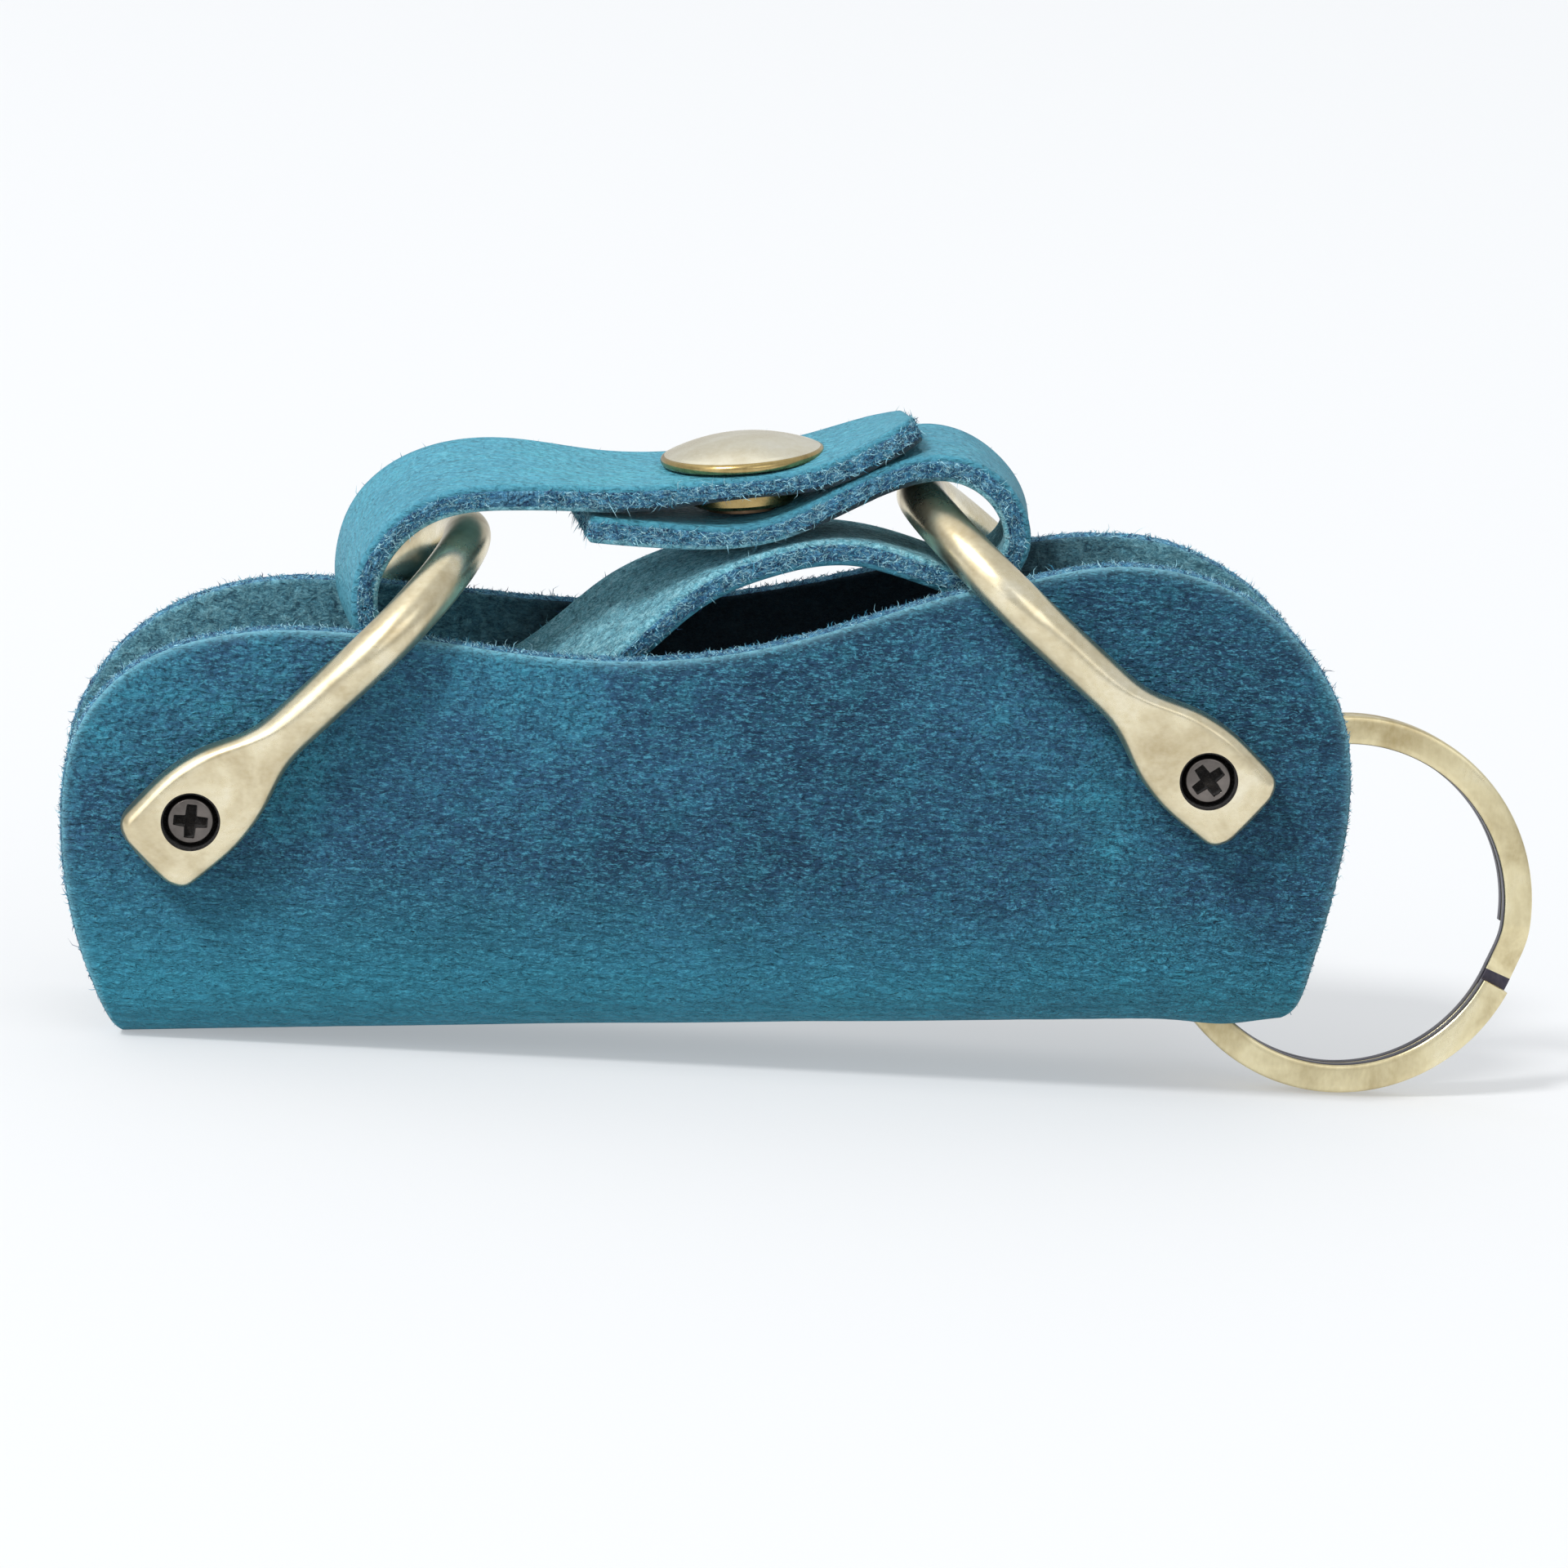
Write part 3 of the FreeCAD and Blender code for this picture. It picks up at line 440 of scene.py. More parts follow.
def makeFibres(name, rim, amount, seed, reach):
    # Loose fibres of the cut edge: each a thin three-sided spike, bent once, standing on the rim strip. The
    # lower part runs along first, the upper one along second, both a random mix of the rim's directions.
    where, normal, outwards, thick = rim
    rng = np.random.default_rng(seed)
    step = np.linalg.norm(np.roll(where, -1, axis=0) - where, axis=1)
    chosen = rng.choice(len(where), amount, p=step / step.sum())
    slide = rng.uniform(0, 1, (amount, 1))
    along = (np.roll(where, -1, axis=0) - where)[chosen]
    base = where[chosen] + along * slide
    level = rng.uniform(-0.95, 0.95, amount) * thick[chosen]
    base = base + normal[chosen] * level[:, None] + outwards[chosen] * 0.03
    along = along / np.maximum(np.linalg.norm(along, axis=1, keepdims=True), 1e-9)
    mixA, mixB, mixC = rng.normal(0, 1.0, (3, amount, 1))
    first = along * mixA + normal[chosen] * mixB * 0.7 + outwards[chosen] * (0.25 + 0.6 * np.abs(mixC))
    first /= np.linalg.norm(first, axis=1, keepdims=True)
    second = first + along * rng.normal(0, 0.9, (amount, 1))
    second = second + normal[chosen] * rng.normal(0, 0.7, (amount, 1))
    second /= np.linalg.norm(second, axis=1, keepdims=True)
    length = reach * rng.gamma(2.2, 0.45, (amount, 1))
    width = rng.uniform(0.024, 0.055, (amount, 1))
    sideA = np.cross(first, normal[chosen] + along * 0.3)
    sideA /= np.maximum(np.linalg.norm(sideA, axis=1, keepdims=True), 1e-9)
    sideB = np.cross(first, sideA)
    elbow = base + first * length * 0.55
    tip = elbow + second * length * 0.5
    rings = []
    for centre, size in ((base, 1.0), (elbow, 0.75)):
        for angle in (0.0, 2.094, 4.189):
            rings.append(centre + (sideA * math.cos(angle) + sideB * math.sin(angle)) * width * size)
    points = np.stack(rings + [tip], axis=1)
    offset = (np.arange(amount) * 7)[:, None]
    triangles = np.array([[0, 1, 4], [0, 4, 3], [1, 2, 5], [1, 5, 4], [2, 0, 3], [2, 3, 5], [3, 4, 6],
                          [4, 5, 6], [5, 3, 6], [2, 1, 0]])
    faces = (triangles[None] + offset[:, :, None]).reshape(-1, 3)
    tones = np.repeat(rng.choice(3, amount, p=(0.50, 0.30, 0.20)), 10)
    return makeObject(name, toRow(points.reshape(-1, 3)), faces, fibreTones, tones, 70.0)


def roundedHalf(distance, half, radius):
    # half thickness that falls off in a quarter round of that radius at the edge
    short = np.clip(radius - distance, 0, radius)
    return half - radius + np.sqrt(radius ** 2 - short ** 2)


# the posts' middles, seen from the front
posts = {"left": {"x": -40.3, "z": 18.4}, "right": {"x": 38.5, "z": 20.8}}

caseSheet = {
    "thick": 2.1, "foldFlat": 4.4, "foldRadius": 3.95, "foldLevel": 1.05, "columns": 360, "rows": 54,
    "fineFrom": 0.965, "rimColumns": 14, "edgeRadius": 0.34, "leftCorner": -45.6, "rightCorner": 44.9,
    "eyeletX": 38.9, "eyeletBore": 3.42, "postBore": 2.6, "sinkX": 41.0, "sinkDepth": 0.55, "bowMost": 0.55,
    "rimRoughness": 0.05, "fibres": 17000, "fibreReach": 0.27,
    # outline of each flap unrolled, (x, distance from the middle of the fold); both share their two ends
    "leftRise": [(-45.6, 0), (-45.8, 4.4), (-46.8, 7.6), (-48.2, 10.9), (-49.5, 15.4)],
    "rightFall": [(50.1, 23.8), (49.5, 19.2), (48.1, 13), (47.2, 10), (46.3, 7), (45.2, 4), (44.9, 0)],
    "frontTop": [(-50.1, 19.1), (-50.3, 23), (-49.9, 27.6), (-48.6, 31.3), (-46.7, 33.8), (-43.9, 35.95),
                 (-40.6, 37.3), (-36.4, 38.1), (-33.4, 38.3), (-27.7, 38), (-21.9, 37.4), (-17.1, 36.6),
                 (-11.8, 35.9), (-6.4, 35.6), (0.7, 36), (5.4, 36.8), (10, 38), (15.6, 39.7),
                 (19.4, 40.7), (24.8, 41.7), (28.3, 42.4), (32.5, 42.7), (36.8, 42.1), (41.2, 40.4),
                 (44.5, 38), (47.5, 34.5), (49.5, 30.3), (50.1, 25.8)],
    "backTop": [(-50, 19.1), (-50.1, 23), (-49.5, 27.6), (-48.2, 30.4), (-46.6, 32.7), (-44.6, 34.7),
                (-41.9, 36.6), (-38.2, 38.1), (-33.9, 38.9), (-28.8, 38.9), (-22, 38.3), (-15.6, 37.5),
                (-10.2, 37), (-3, 36.9), (4.4, 37.6), (11.5, 38.8), (19, 40.3), (26.5, 41.5),
                (30.1, 41.9), (34.2, 41.8), (37.6, 41.2), (41.2, 39.6), (44.3, 37.5), (48, 33.3),
                (49.4, 31), (50.1, 27)],
}


def foldSheet(x, w):
    # Rolls the flat sheet up: level under the case, quarter rounds, then upright flaps. Gives the places,
    # the normals and the height up each flap.
    c = caseSheet
    side = np.where(w < 0, -1.0, 1.0)
    past = np.abs(w) - c["foldFlat"]
    arc = c["foldRadius"] * math.pi / 2
    angle = np.clip(past / c["foldRadius"], 0, math.pi / 2)
    rise = np.maximum(past - arc, 0)
    y = side * (np.minimum(np.abs(w), c["foldFlat"]) + c["foldRadius"] * np.sin(angle))
    z = c["foldLevel"] + c["foldRadius"] * (1 - np.cos(angle)) + rise
    place = np.stack([x, y, z], -1)
    normal = np.stack([np.zeros_like(x), side * np.sin(angle), -np.cos(angle)], -1)
    return place, normal, rise


def makeCase():
    c = caseSheet
    count = c["columns"]
    frontLine = c["leftRise"] + c["frontTop"] + c["rightFall"]
    backLine = c["leftRise"] + c["backTop"] + c["rightFall"]
    front = smoothCurve(frontLine, count)
    back = smoothCurve(backLine, count)
    middle = np.stack([np.linspace(c["leftCorner"], c["rightCorner"], count), np.zeros(count)], -1)
    # each half runs from the fold to the cut edge by straight steps, closer together near the edge
    coarse = np.linspace(0, c["fineFrom"], c["rows"])
    fine = 1 - (1 - c["fineFrom"]) * np.array([0.80, 0.60, 0.44, 0.31, 0.21, 0.13, 0.07, 0.03, 0.0])
    t = np.concatenate([coarse, fine])
    toFront = middle[:, None] + (front - middle)[:, None] * t[None, ::-1, None]
    toFront[..., 1] *= -1
    toBack = middle[:, None] + (back - middle)[:, None] * t[None, 1:, None]
    flat = np.concatenate([toFront, toBack], axis=1)
    x, w = flat[..., 0], flat[..., 1]
    # distance to the cut edge, read only near it
    frontEdge = smoothCurve(frontLine, count * 4) * [1, -1]
    edgeLine = np.concatenate([frontEdge, smoothCurve(backLine, count * 4)])
    distance = np.full(x.shape, 9.0)
    for column in range(-c["rimColumns"], c["rimColumns"]):
        gap = flat[:, column, None, :] - edgeLine[None]
        distance[:, column] = np.sqrt((gap ** 2).sum(-1)).min(1)
    place, normal, rise = foldSheet(x, w)
    sideways = np.where(w < 0, -1.0, 1.0)
    ease = smoothStep(rise, 0, 14)
    # flaps bow a little, the sheet sinks round the eyelet
    bow = 0.22 * ease * waves(x, w, 3, 48.0) + 0.35 * ease * np.sin(np.clip(rise / 32, 0, 1) * math.pi)
    place[..., 1] += sideways * np.minimum(bow, c["bowMost"]) * 0.6
    sink = c["sinkDepth"] * np.exp(-((x - c["sinkX"]) / 3.6) ** 2) * smoothStep(9.5 - np.abs(w), 0, 5)
    place[..., 2] -= sink
    place[..., 2] += 0.10 * waves(x, w * 0, 5, 60.0) * (1 - ease) - 0.08
    half = roundedHalf(distance, c["thick"] / 2, c["edgeRadius"])
    half = half + 0.03 * waves(x, w, 8, 14.0) * smoothStep(distance, 0.6, 2.0)
    points, faces, which, rim = rimShell(place, normal, half, 5, c["rimRoughness"], 21)
    near = np.concatenate([np.exp(-distance / 0.24).ravel()] * 2 + [np.ones(len(points) - 2 * x.size)])
    case = makeObject("caseLeather", toRow(points), faces, [caseHide, shadedCaseFlesh, cutEdge], which, 50.0,
                      merge=2e-6, sides=near)
    # bores for the eyelet and for the two posts: foot, direction, radius and height of what is cut away
    bores = [((c["eyeletX"], 0.0, -3.0), (0, 0, 1), c["eyeletBore"], 7.0)]
    for post in posts.values():
        bores.append(((post["x"], -15.0, post["z"]), (0, 1, 0), c["postBore"], 30.0))
    for base, axis, radius, height in bores:
        profile = np.array([(1e-3, 0), (radius, 0), (radius, height), (1e-3, height)]) * 0.001
        holePoints, holeFaces = lathe(profile, toRow(base), turnToRow(axis), 64)
        cutWith(case, makeObject("cutter", holePoints, holeFaces, [cutEdge]))
    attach(case, "case")
    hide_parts("case_leather")
    fibres = makeFibres("caseFibres", rim, c["fibres"], 31, c["fibreReach"])
    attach(fibres, "case")


makeCase()
print("case made")

strapBand = {
    "width": 13.0, "thick": 2.1, "edgeRadius": 0.42, "across": 34, "spacing": 0.42, "endRound": 3.2,
    "startRound": 0.8, "snapX": 3.3, "snapReach": 5.5, "snapFoot": 38.4, "snapMiddle": 40.9,
    "snapThinning": 0.18, "rimRoughness": 0.085, "fibreReach": 0.40,
    # lines of the strap's front and back edges, (x, z), from the end under the snap, round the right
    # bight, through the case, round the left bight to the tongue
    "front": [(-9.3, 39.75), (-6.2, 39.45), (-2.9, 39.2), (0.6, 39.1), (3.6, 39.35), (6.4, 40.1),
              (9.4, 41.4), (12.2, 42.75), (15, 43.85), (17.6, 44.35), (20.2, 43.95), (22.3, 42.6),
              (23.7, 40.5), (24, 38.2), (22.9, 36.2), (20.6, 35.2), (17.7, 35.9), (14.6, 37),
              (11.4, 37.75), (8, 37.65), (4.8, 36.9), (1.5, 35.7), (-1.6, 33.8), (-5, 30.8), (-9.5, 27.4),
              (-14.5, 25.3), (-19.6, 25.5), (-24.2, 28.2), (-26.4, 32), (-26.5, 35.7), (-24.95, 38.7),
              (-22.1, 41.05), (-18.5, 42.1), (-14.8, 42.25), (-11.2, 42.2), (-7.4, 42.05), (-3.6, 42.2),
              (0.2, 42.5), (3.8, 42.8), (7.4, 43.3), (10.4, 44.25), (13.4, 45.75), (16.5, 47.5)],
    "back": [(-10, 39.6), (-6.6, 39.3), (-3.1, 39.1), (0.4, 39.15), (3.6, 39.5), (6.6, 40.3), (9.6, 41.6),
             (12.4, 42.9), (15.2, 44.1), (17.8, 44.7), (20.6, 44.1), (22.8, 42.6), (24.5, 40.4), (25, 38),
             (23.6, 35.9), (20.4, 34.7), (16.6, 35.6), (12.8, 36.7), (8.6, 37.1), (4.4, 36.6),
             (0.6, 35.8), (-3, 34.7), (-6.6, 33), (-10, 30.4), (-13.8, 27.5), (-17.8, 25.8), (-22, 26.3),
             (-25.8, 29.2), (-27.7, 33), (-27.6, 36.6), (-26.4, 39.6), (-23.6, 42.2), (-19.6, 43.65),
             (-15.4, 43.85), (-11.4, 43.3), (-7.6, 42.75), (-3.6, 42.6), (0.2, 42.8), (3.8, 43.1),
             (7.4, 43.65), (10.6, 44.5), (13.3, 45.25), (16.2, 45.9)],
    # the point of both lines where the tongue begins, on the left rise
    "tonguePoint": 33,
}


def layBand(name, firstPoint, lastPoint, startRound, endRound, materials, seed, fibreCount):
    # Ruled band between two edge lines: at share t of the width it is front * (1 - t) + back * t, with t from
    # 0 at the front to 1 at the back, narrowed at a free end to round its corners, then thickened both ways
    # along its normal.
    s = strapBand
    front = np.asarray(s["front"], float)
    back = np.asarray(s["back"], float)
    mid = (front + back) / 2
    chord = np.concatenate([[0.0], np.cumsum(np.linalg.norm(np.diff(mid, axis=0), axis=1))])
    first, length = chord[firstPoint], chord[lastPoint] - chord[firstPoint]
    count = int(length / s["spacing"])
    where = np.linspace(0, length, count)
    fine = np.array([0.02, 0.06, 0.12, 0.2, 0.3, 0.45, 0.65, 0.9, 1.2, 1.5])
    where = np.unique(np.concatenate([where, fine, length - fine]))
    f, b = splineAt(chord, front, where + first), splineAt(chord, back, where + first)
    half = s["width"] / 2

    def narrow(distance, radius):
        return radius - np.sqrt(np.maximum(radius ** 2 - np.clip(radius - distance, 0, radius) ** 2, 0))

    trim = np.zeros(len(where))
    if startRound:
        trim = trim + narrow(where, startRound)
    if endRound:
        trim = trim + narrow(length - where, endRound)
    inner = np.linspace(-1, 1, s["across"] - 12)
    near = np.array([0.003, 0.012, 0.026, 0.045, 0.07, 0.1])
    t = np.unique(np.concatenate([inner * 0.87, -1 + near, 1 - near, [-1, 1]]))
    y = (half - trim)[:, None] * t[None]
    share = (y + half) / s["width"]
    place = np.empty((len(where), len(t), 3))
    place[..., 0] = f[:, 0, None] * (1 - share) + b[:, 0, None] * share
    place[..., 2] = f[:, 1, None] * (1 - share) + b[:, 1, None] * share
    place[..., 1] = y
    alongPath = np.gradient(place, where, axis=0)
    acrossPath = np.gradient(place, axis=1)
    normal = np.cross(alongPath, acrossPath)
    normal /= np.linalg.norm(normal, axis=-1, keepdims=True)
    distance = np.minimum(y + (half - trim)[:, None], (half - trim)[:, None] - y)
    if startRound:
        distance = np.minimum(distance, where[:, None])
    if endRound:
        distance = np.minimum(distance, (length - where)[:, None])
    thickness = roundedHalf(distance, s["thick"] / 2, s["edgeRadius"])
    wave = waves(where[:, None] + first, y, 51, 9.0) * 0.04 * smoothStep(distance, 0.4, 1.5)
    place = place + normal * wave[..., None] * 0.8
    # the snap squeezes both layers and parts them a little
    squeeze = np.exp(-((place[..., 0] - s["snapX"]) / s["snapReach"]) ** 2) * (place[..., 2] > s["snapFoot"])
    upper = place[..., 2] - 0.16 * place[..., 0] > s["snapMiddle"]
    thickness = thickness * (1 - s["snapThinning"] * squeeze)
    place[..., 2] += squeeze * np.where(upper, 0.20, -0.16)
    points, faces, which, rim = rimShell(place, normal, thickness, 8, s["rimRoughness"], seed)
    edgeNear = np.concatenate([np.exp(-distance / 0.30).ravel()] * 2 + [np.ones(len(points) - 2 * y.size)])
    band = makeObject(name, toRow(points), faces, materials, which, 50.0, merge=2e-6, sides=edgeNear)
    # no fibres on the joint between the two stretches
    keep = np.ones(len(rim[0]), bool)
    for rounded, end in ((startRound, place[0]), (endRound, place[-1])):
        if not rounded:
            keep &= np.linalg.norm(rim[0] - end.mean(0), axis=1) > half + 0.3
    bare = tuple(part[keep] for part in rim)
    fibres = makeFibres(name + "Fibres", bare, fibreCount, seed + 1, s["fibreReach"])
    return band, fibres


def makeStrap():
    s = strapBand
    sides = [strapHide, strapFlesh, cutEdge]
    last = len(s["front"]) - 1
    band, bandFibres = layBand("strapBand", 0, s["tonguePoint"], s["startRound"], 0, sides, 51, 18500)
    tongue, tongueFibres = layBand("tongueBand", s["tonguePoint"], last, 0, s["endRound"], sides, 61, 7500)
    for item in (band, bandFibres):
        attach(item, "strap")
    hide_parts("strap")
    for item in (tongue, tongueFibres):
        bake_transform(item)
    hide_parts("strap_tongue")


makeStrap()
print("strap made")

# ---- shackles ----

shackleForm = {
    "earEnd": -4.8, "reach": 29.45, "legOffset": 12.2, "rod": 1.85, "around": 72, "cornerRound": 1.5,
    "faceRound": 1.25, "earMiddle": 11.5, "earHalf": 1.8, "endConvex": 0.22,
    "places": [-4.8, -3.2, -1.8, 0.6, 2.9, 4.9, 7.0, 8.8, 10.9, 14.0, 17.3],
    "halfWidths": [3.64, 3.80, 3.90, 4.0, 3.76, 3.25, 2.45, 1.98, 1.86, 1.85, 1.85],
    "outerFace": 13.3, "rodOuter": 14.1, "squareness": 3.2, "faceBlend": 0.10,
    # (radius, distance from the middle of the case) of the counterbore with its small broken edge
    "counterbore": [(0.001, 11.8), (2.15, 11.8), (2.15, 13.08), (2.42, 13.35), (2.42, 15.5), (0.001, 15.5)],
    "left": {"leanDegrees": 42.4, "facing": 1},
    "right": {"leanDegrees": 43.2, "facing": -1},
}


def shackleGrid():
    # Sections along one leg, the bight and the other leg. Each section is a rounded rectangle,
    # (a - r) * clip(k cos) + r cos and (b - r) * clip(k sin) + r sin, that grows round towards the rod, and
    # a soft minimum holds it inside the ear's flat outer face.
    f = shackleForm
    bend = f["reach"] - f["legOffset"]
    closer = [0.0, 0.03, 0.08, 0.15, 0.25, 0.38, 0.54, 0.74, 0.95, 1.2]
    e = np.concatenate([closer, np.arange(1.5, bend + 3.9, 0.3)])
    u = f["earEnd"] + e
    a = splineAt(f["places"], f["halfWidths"], u)
    toRod = smoothStep(u, 2.2, 9.0)
    b = f["earHalf"] + (f["rod"] - f["earHalf"]) * toRod
    centre = f["earMiddle"] + (f["legOffset"] - f["earMiddle"]) * toRod
    r = f["faceRound"] + (f["rod"] - f["faceRound"]) * smoothStep(u, 1.5, 9.5)
    corner = f["cornerRound"] - np.sqrt(f["cornerRound"] ** 2 - np.clip(f["cornerRound"] - e, 0, None) ** 2)
    face = f["faceRound"] - np.sqrt(f["faceRound"] ** 2 - np.clip(f["faceRound"] - e, 0, None) ** 2)
    a = a - corner
    b = b - face
    r = np.minimum(r, np.minimum(a, b))
    flat = f["outerFace"] + (f["rodOuter"] - f["outerFace"]) * smoothStep(u, 3.0, 13.0)
    angle = np.linspace(0, 2 * math.pi, f["around"], endpoint=False)
    cos, sin = np.cos(angle)[None], np.sin(angle)[None]

    def section(a, b, r, centre, flat):
        a, b, r, centre, flat = (np.asarray(v)[:, None] for v in (a, b, r, centre, flat))
        across = (a - r) * np.clip(cos * f["squareness"], -1, 1) + r * cos
        out = centre + (b - r) * np.clip(sin * f["squareness"], -1, 1) + r * sin
        over = f["faceBlend"]
        return across, flat - over * np.log1p(np.exp(np.clip((flat - out) / over, -40, 40)))

    across, out = section(a, b, r, centre, flat)
    legPlace = np.stack([np.broadcast_to(u[:, None], across.shape), across, -out], -1)
    capScale = np.array([0.0, 0.35, 0.65, 0.87])[:, None, None]
    capCentre = np.array([f["earEnd"], 0.0, -f["earMiddle"]])
    cap = capCentre + (legPlace[0][None] - capCentre) * capScale
    cap[..., 0] -= f["endConvex"] * (1 - capScale[..., 0] ** 2)
    front = np.concatenate([cap, legPlace])
    turn = np.linspace(0, math.pi, 76)[1:-1]
    outwards = np.stack([np.sin(turn), np.zeros_like(turn), -np.cos(turn)], -1)
    path = np.array([bend, 0, 0]) + outwards * f["legOffset"]
    ringAcross = f["rod"] * cos[0]
    ringOut = f["rod"] * sin[0]
    bight = path[:, None] + outwards[:, None] * ringOut[None, :, None]
    bight[..., 1] += ringAcross[None]
    back = front[::-1].copy()
    back[..., 2] *= -1
    return np.concatenate([front, bight, back])


def makeShackle(sideName):
    f = shackleForm
    side = f[sideName]
    grid = shackleGrid()
    tilt = math.radians(side["leanDegrees"])
    leg = np.array([side["facing"] * math.cos(tilt), 0, math.sin(tilt)])
    over = np.array([-side["facing"] * math.sin(tilt), 0, math.cos(tilt)])
    post = np.array([posts[sideName]["x"], 0, posts[sideName]["z"]])
    place = post + grid[..., 0, None] * leg + grid[..., 1, None] * over
    place[..., 1] += grid[..., 2]
    rows, columns = place.shape[:2]
    faces = gridFaces(rows, columns, closeColumns=True)
    shackle = makeObject(sideName + "Shackle", toRow(place.reshape(-1, 3)), faces, [shackleBrass], sharp=60.0,
                         merge=1e-6)
    # the counterbore walls take the cutter's near-black finish: painted shade round the screw heads
    for facing in (-1, 1):
        points, faces = lathe(np.array(f["counterbore"]) * 0.001, toRow(post), (0, facing, 0), 72)
        cutWith(shackle, makeObject("cutter", points, faces, [paintedBoreShade]))
    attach(shackle, sideName + "_shackle")
    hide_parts(sideName + "_shackle")


for sideName in ("left", "right"):
    makeShackle(sideName)
print("shackles made")

screwForm = {
    "head": 1.82, "flatTo": 1.5, "underHead": 11.85, "height": 1.1, "dome": 0.10, "shank": 1.25,
    "shankEnd": 7.0, "recess": 0.95, "armReach": 1.30, "armHalf": 0.46, "edge": 0.22,
    "turns": {"left_front": -6.0, "left_rear": 20.0, "right_front": 36.0, "right_rear": 9.0}}


def makeScrew(sideName, facingName):
    # low domed head read as a height over (radius, angle), with a tapered cross pressed in
    f = screwForm
    facing = -1 if facingName == "front" else 1
    towardsRim = np.sin(np.linspace(0.12, 1, 9) * math.pi / 2)
    flatTo = f["flatTo"]
    radius = np.concatenate([np.linspace(0, flatTo, 46), flatTo + (f["head"] - flatTo) * towardsRim])
    angle = np.linspace(0, 2 * math.pi, 176, endpoint=False)
    rr, aa = np.meshgrid(radius, angle, indexing="ij")
    spin = math.radians(f["turns"][sideName + "_" + facingName])
    px, pz = rr * np.cos(aa), rr * np.sin(aa)
    cx = px * math.cos(spin) + pz * math.sin(spin)
    cz = -px * math.sin(spin) + pz * math.cos(spin)
    top = f["height"] - f["dome"] * (rr / f["head"]) ** 2
    drop = np.clip((rr - (f["head"] - f["edge"])) / f["edge"], 0, 1)
    top = top - f["edge"] * (1 - np.sqrt(np.maximum(1 - drop ** 2, 0)))
    depth = np.zeros_like(rr)
    for lengthwise, sideways in ((cx, cz), (cz, cx)):
        slope = f["armHalf"] - 0.10 * np.abs(lengthwise) / f["armReach"]
        arm = smoothStep(slope - np.abs(sideways), -0.03, 0.06)
        arm = arm * smoothStep(f["armReach"] - np.abs(lengthwise), -0.03, 0.10)
        depth = np.maximum(depth, arm * f["recess"] * (1 - 0.45 * np.abs(lengthwise) / f["armReach"]))
    top = top - depth
    rows = [np.stack([px, top, pz], -1)]
    for r, h in ((f["head"], 0.05), (f["head"] - 0.06, 0.0), (f["shank"], 0.0),
                 (f["shank"], f["shankEnd"] - f["underHead"]), (0.0, f["shankEnd"] - f["underHead"])):
        rows.append(np.stack([r * np.cos(angle), np.full(len(angle), h), r * np.sin(angle)], -1)[None])
    grid = np.concatenate(rows)
    place = np.empty_like(grid)
    place[..., 0] = posts[sideName]["x"] + grid[..., 0]
    place[..., 2] = posts[sideName]["z"] + grid[..., 2]
    place[..., 1] = facing * (f["underHead"] + grid[..., 1])
    name = sideName + facingName.capitalize() + "Screw"
    pressed = np.zeros(grid.shape[:2])
    pressed[:depth.shape[0]] = depth
    faces = gridFaces(*grid.shape[:2], closeColumns=True)
    # faces deep in the cross recess take the near-black finish: painted shade
    shadedRecessFace = (pressed.reshape(-1)[faces].mean(1) > 0.16).astype(int)
    screw = makeObject(name, toRow(place.reshape(-1, 3)), faces, [screwSteel, paintedBoreShade], shadedRecessFace, sharp=38.0)
    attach(screw, "case")
    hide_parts("%s_%s_screw" % (sideName, facingName))


for sideName in ("left", "right"):
    for facingName in ("front", "rear"):
        makeScrew(sideName, facingName)
print("screws made")

# ---- snap cap ----

capForm = {
    "snapX": 3.3, "snapZ": 40.35, "tiltDegrees": 4.0, "seat": 3.65, "radius": 6.45, "rise": 1.26,
    "step": 0.06, "lip": 0.42, "roll": 0.42, "turns": 128}


def makeCap():
    # shallow dome, rise * (1 - (r / inner)^2) over a level of lip + roll + step, then a rolled rim: half a
    # circle of radius roll carried round, and a flat underside
    f = capForm
    inner = f["radius"] - f["roll"]
    r = inner * np.linspace(0, 1, 48)[:-1]
    dome = f["lip"] + f["roll"] + f["step"] + f["rise"] * (1 - (r / inner) ** 2)
    swing = np.linspace(math.pi / 2 - 0.25, -math.pi / 2, 22)
    rolled = np.stack([inner + f["roll"] * np.cos(swing), f["lip"] + f["roll"] * np.sin(swing) * np.where(
        swing > 0, 1.0, f["lip"] / f["roll"])], -1)
    profile = np.concatenate([np.stack([r, dome], -1), rolled, [(inner - 0.5, 0.0), (0.0, 0.0)]])
    tilt = math.radians(f["tiltDegrees"])
    axis = np.array([-math.sin(tilt), 0, math.cos(tilt)])
    foot = np.array([f["snapX"], 0, f["snapZ"]]) + axis * f["seat"]
    points, faces = lathe(profile * 0.001, toRow(foot), turnToRow(axis), f["turns"])
    # the rolled rim takes the darker brass: a painted dark reflection
    shadedRimFace = (np.arange(len(faces)) // f["turns"] >= len(r)).astype(int)
    cap = makeObject("snapCap", points, faces, [snapBrass, paintedShadeBrass], shadedRimFace, sharp=50.0)
    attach(cap, "tongue")
    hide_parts("snap_cap")


makeCap()

# ---- split ring ----

ringForm = {
    "centre": (51.2, 1.1, 7.6), "yawDegrees": 2.5, "pitchDegrees": 5.0, "radius": 15.18, "width": 2.29,
    "thick": 1.26, "gap": 0.08, "jogStart": 8.0, "jogSweep": 21.0, "edge": 0.26, "squareness": 4.0}


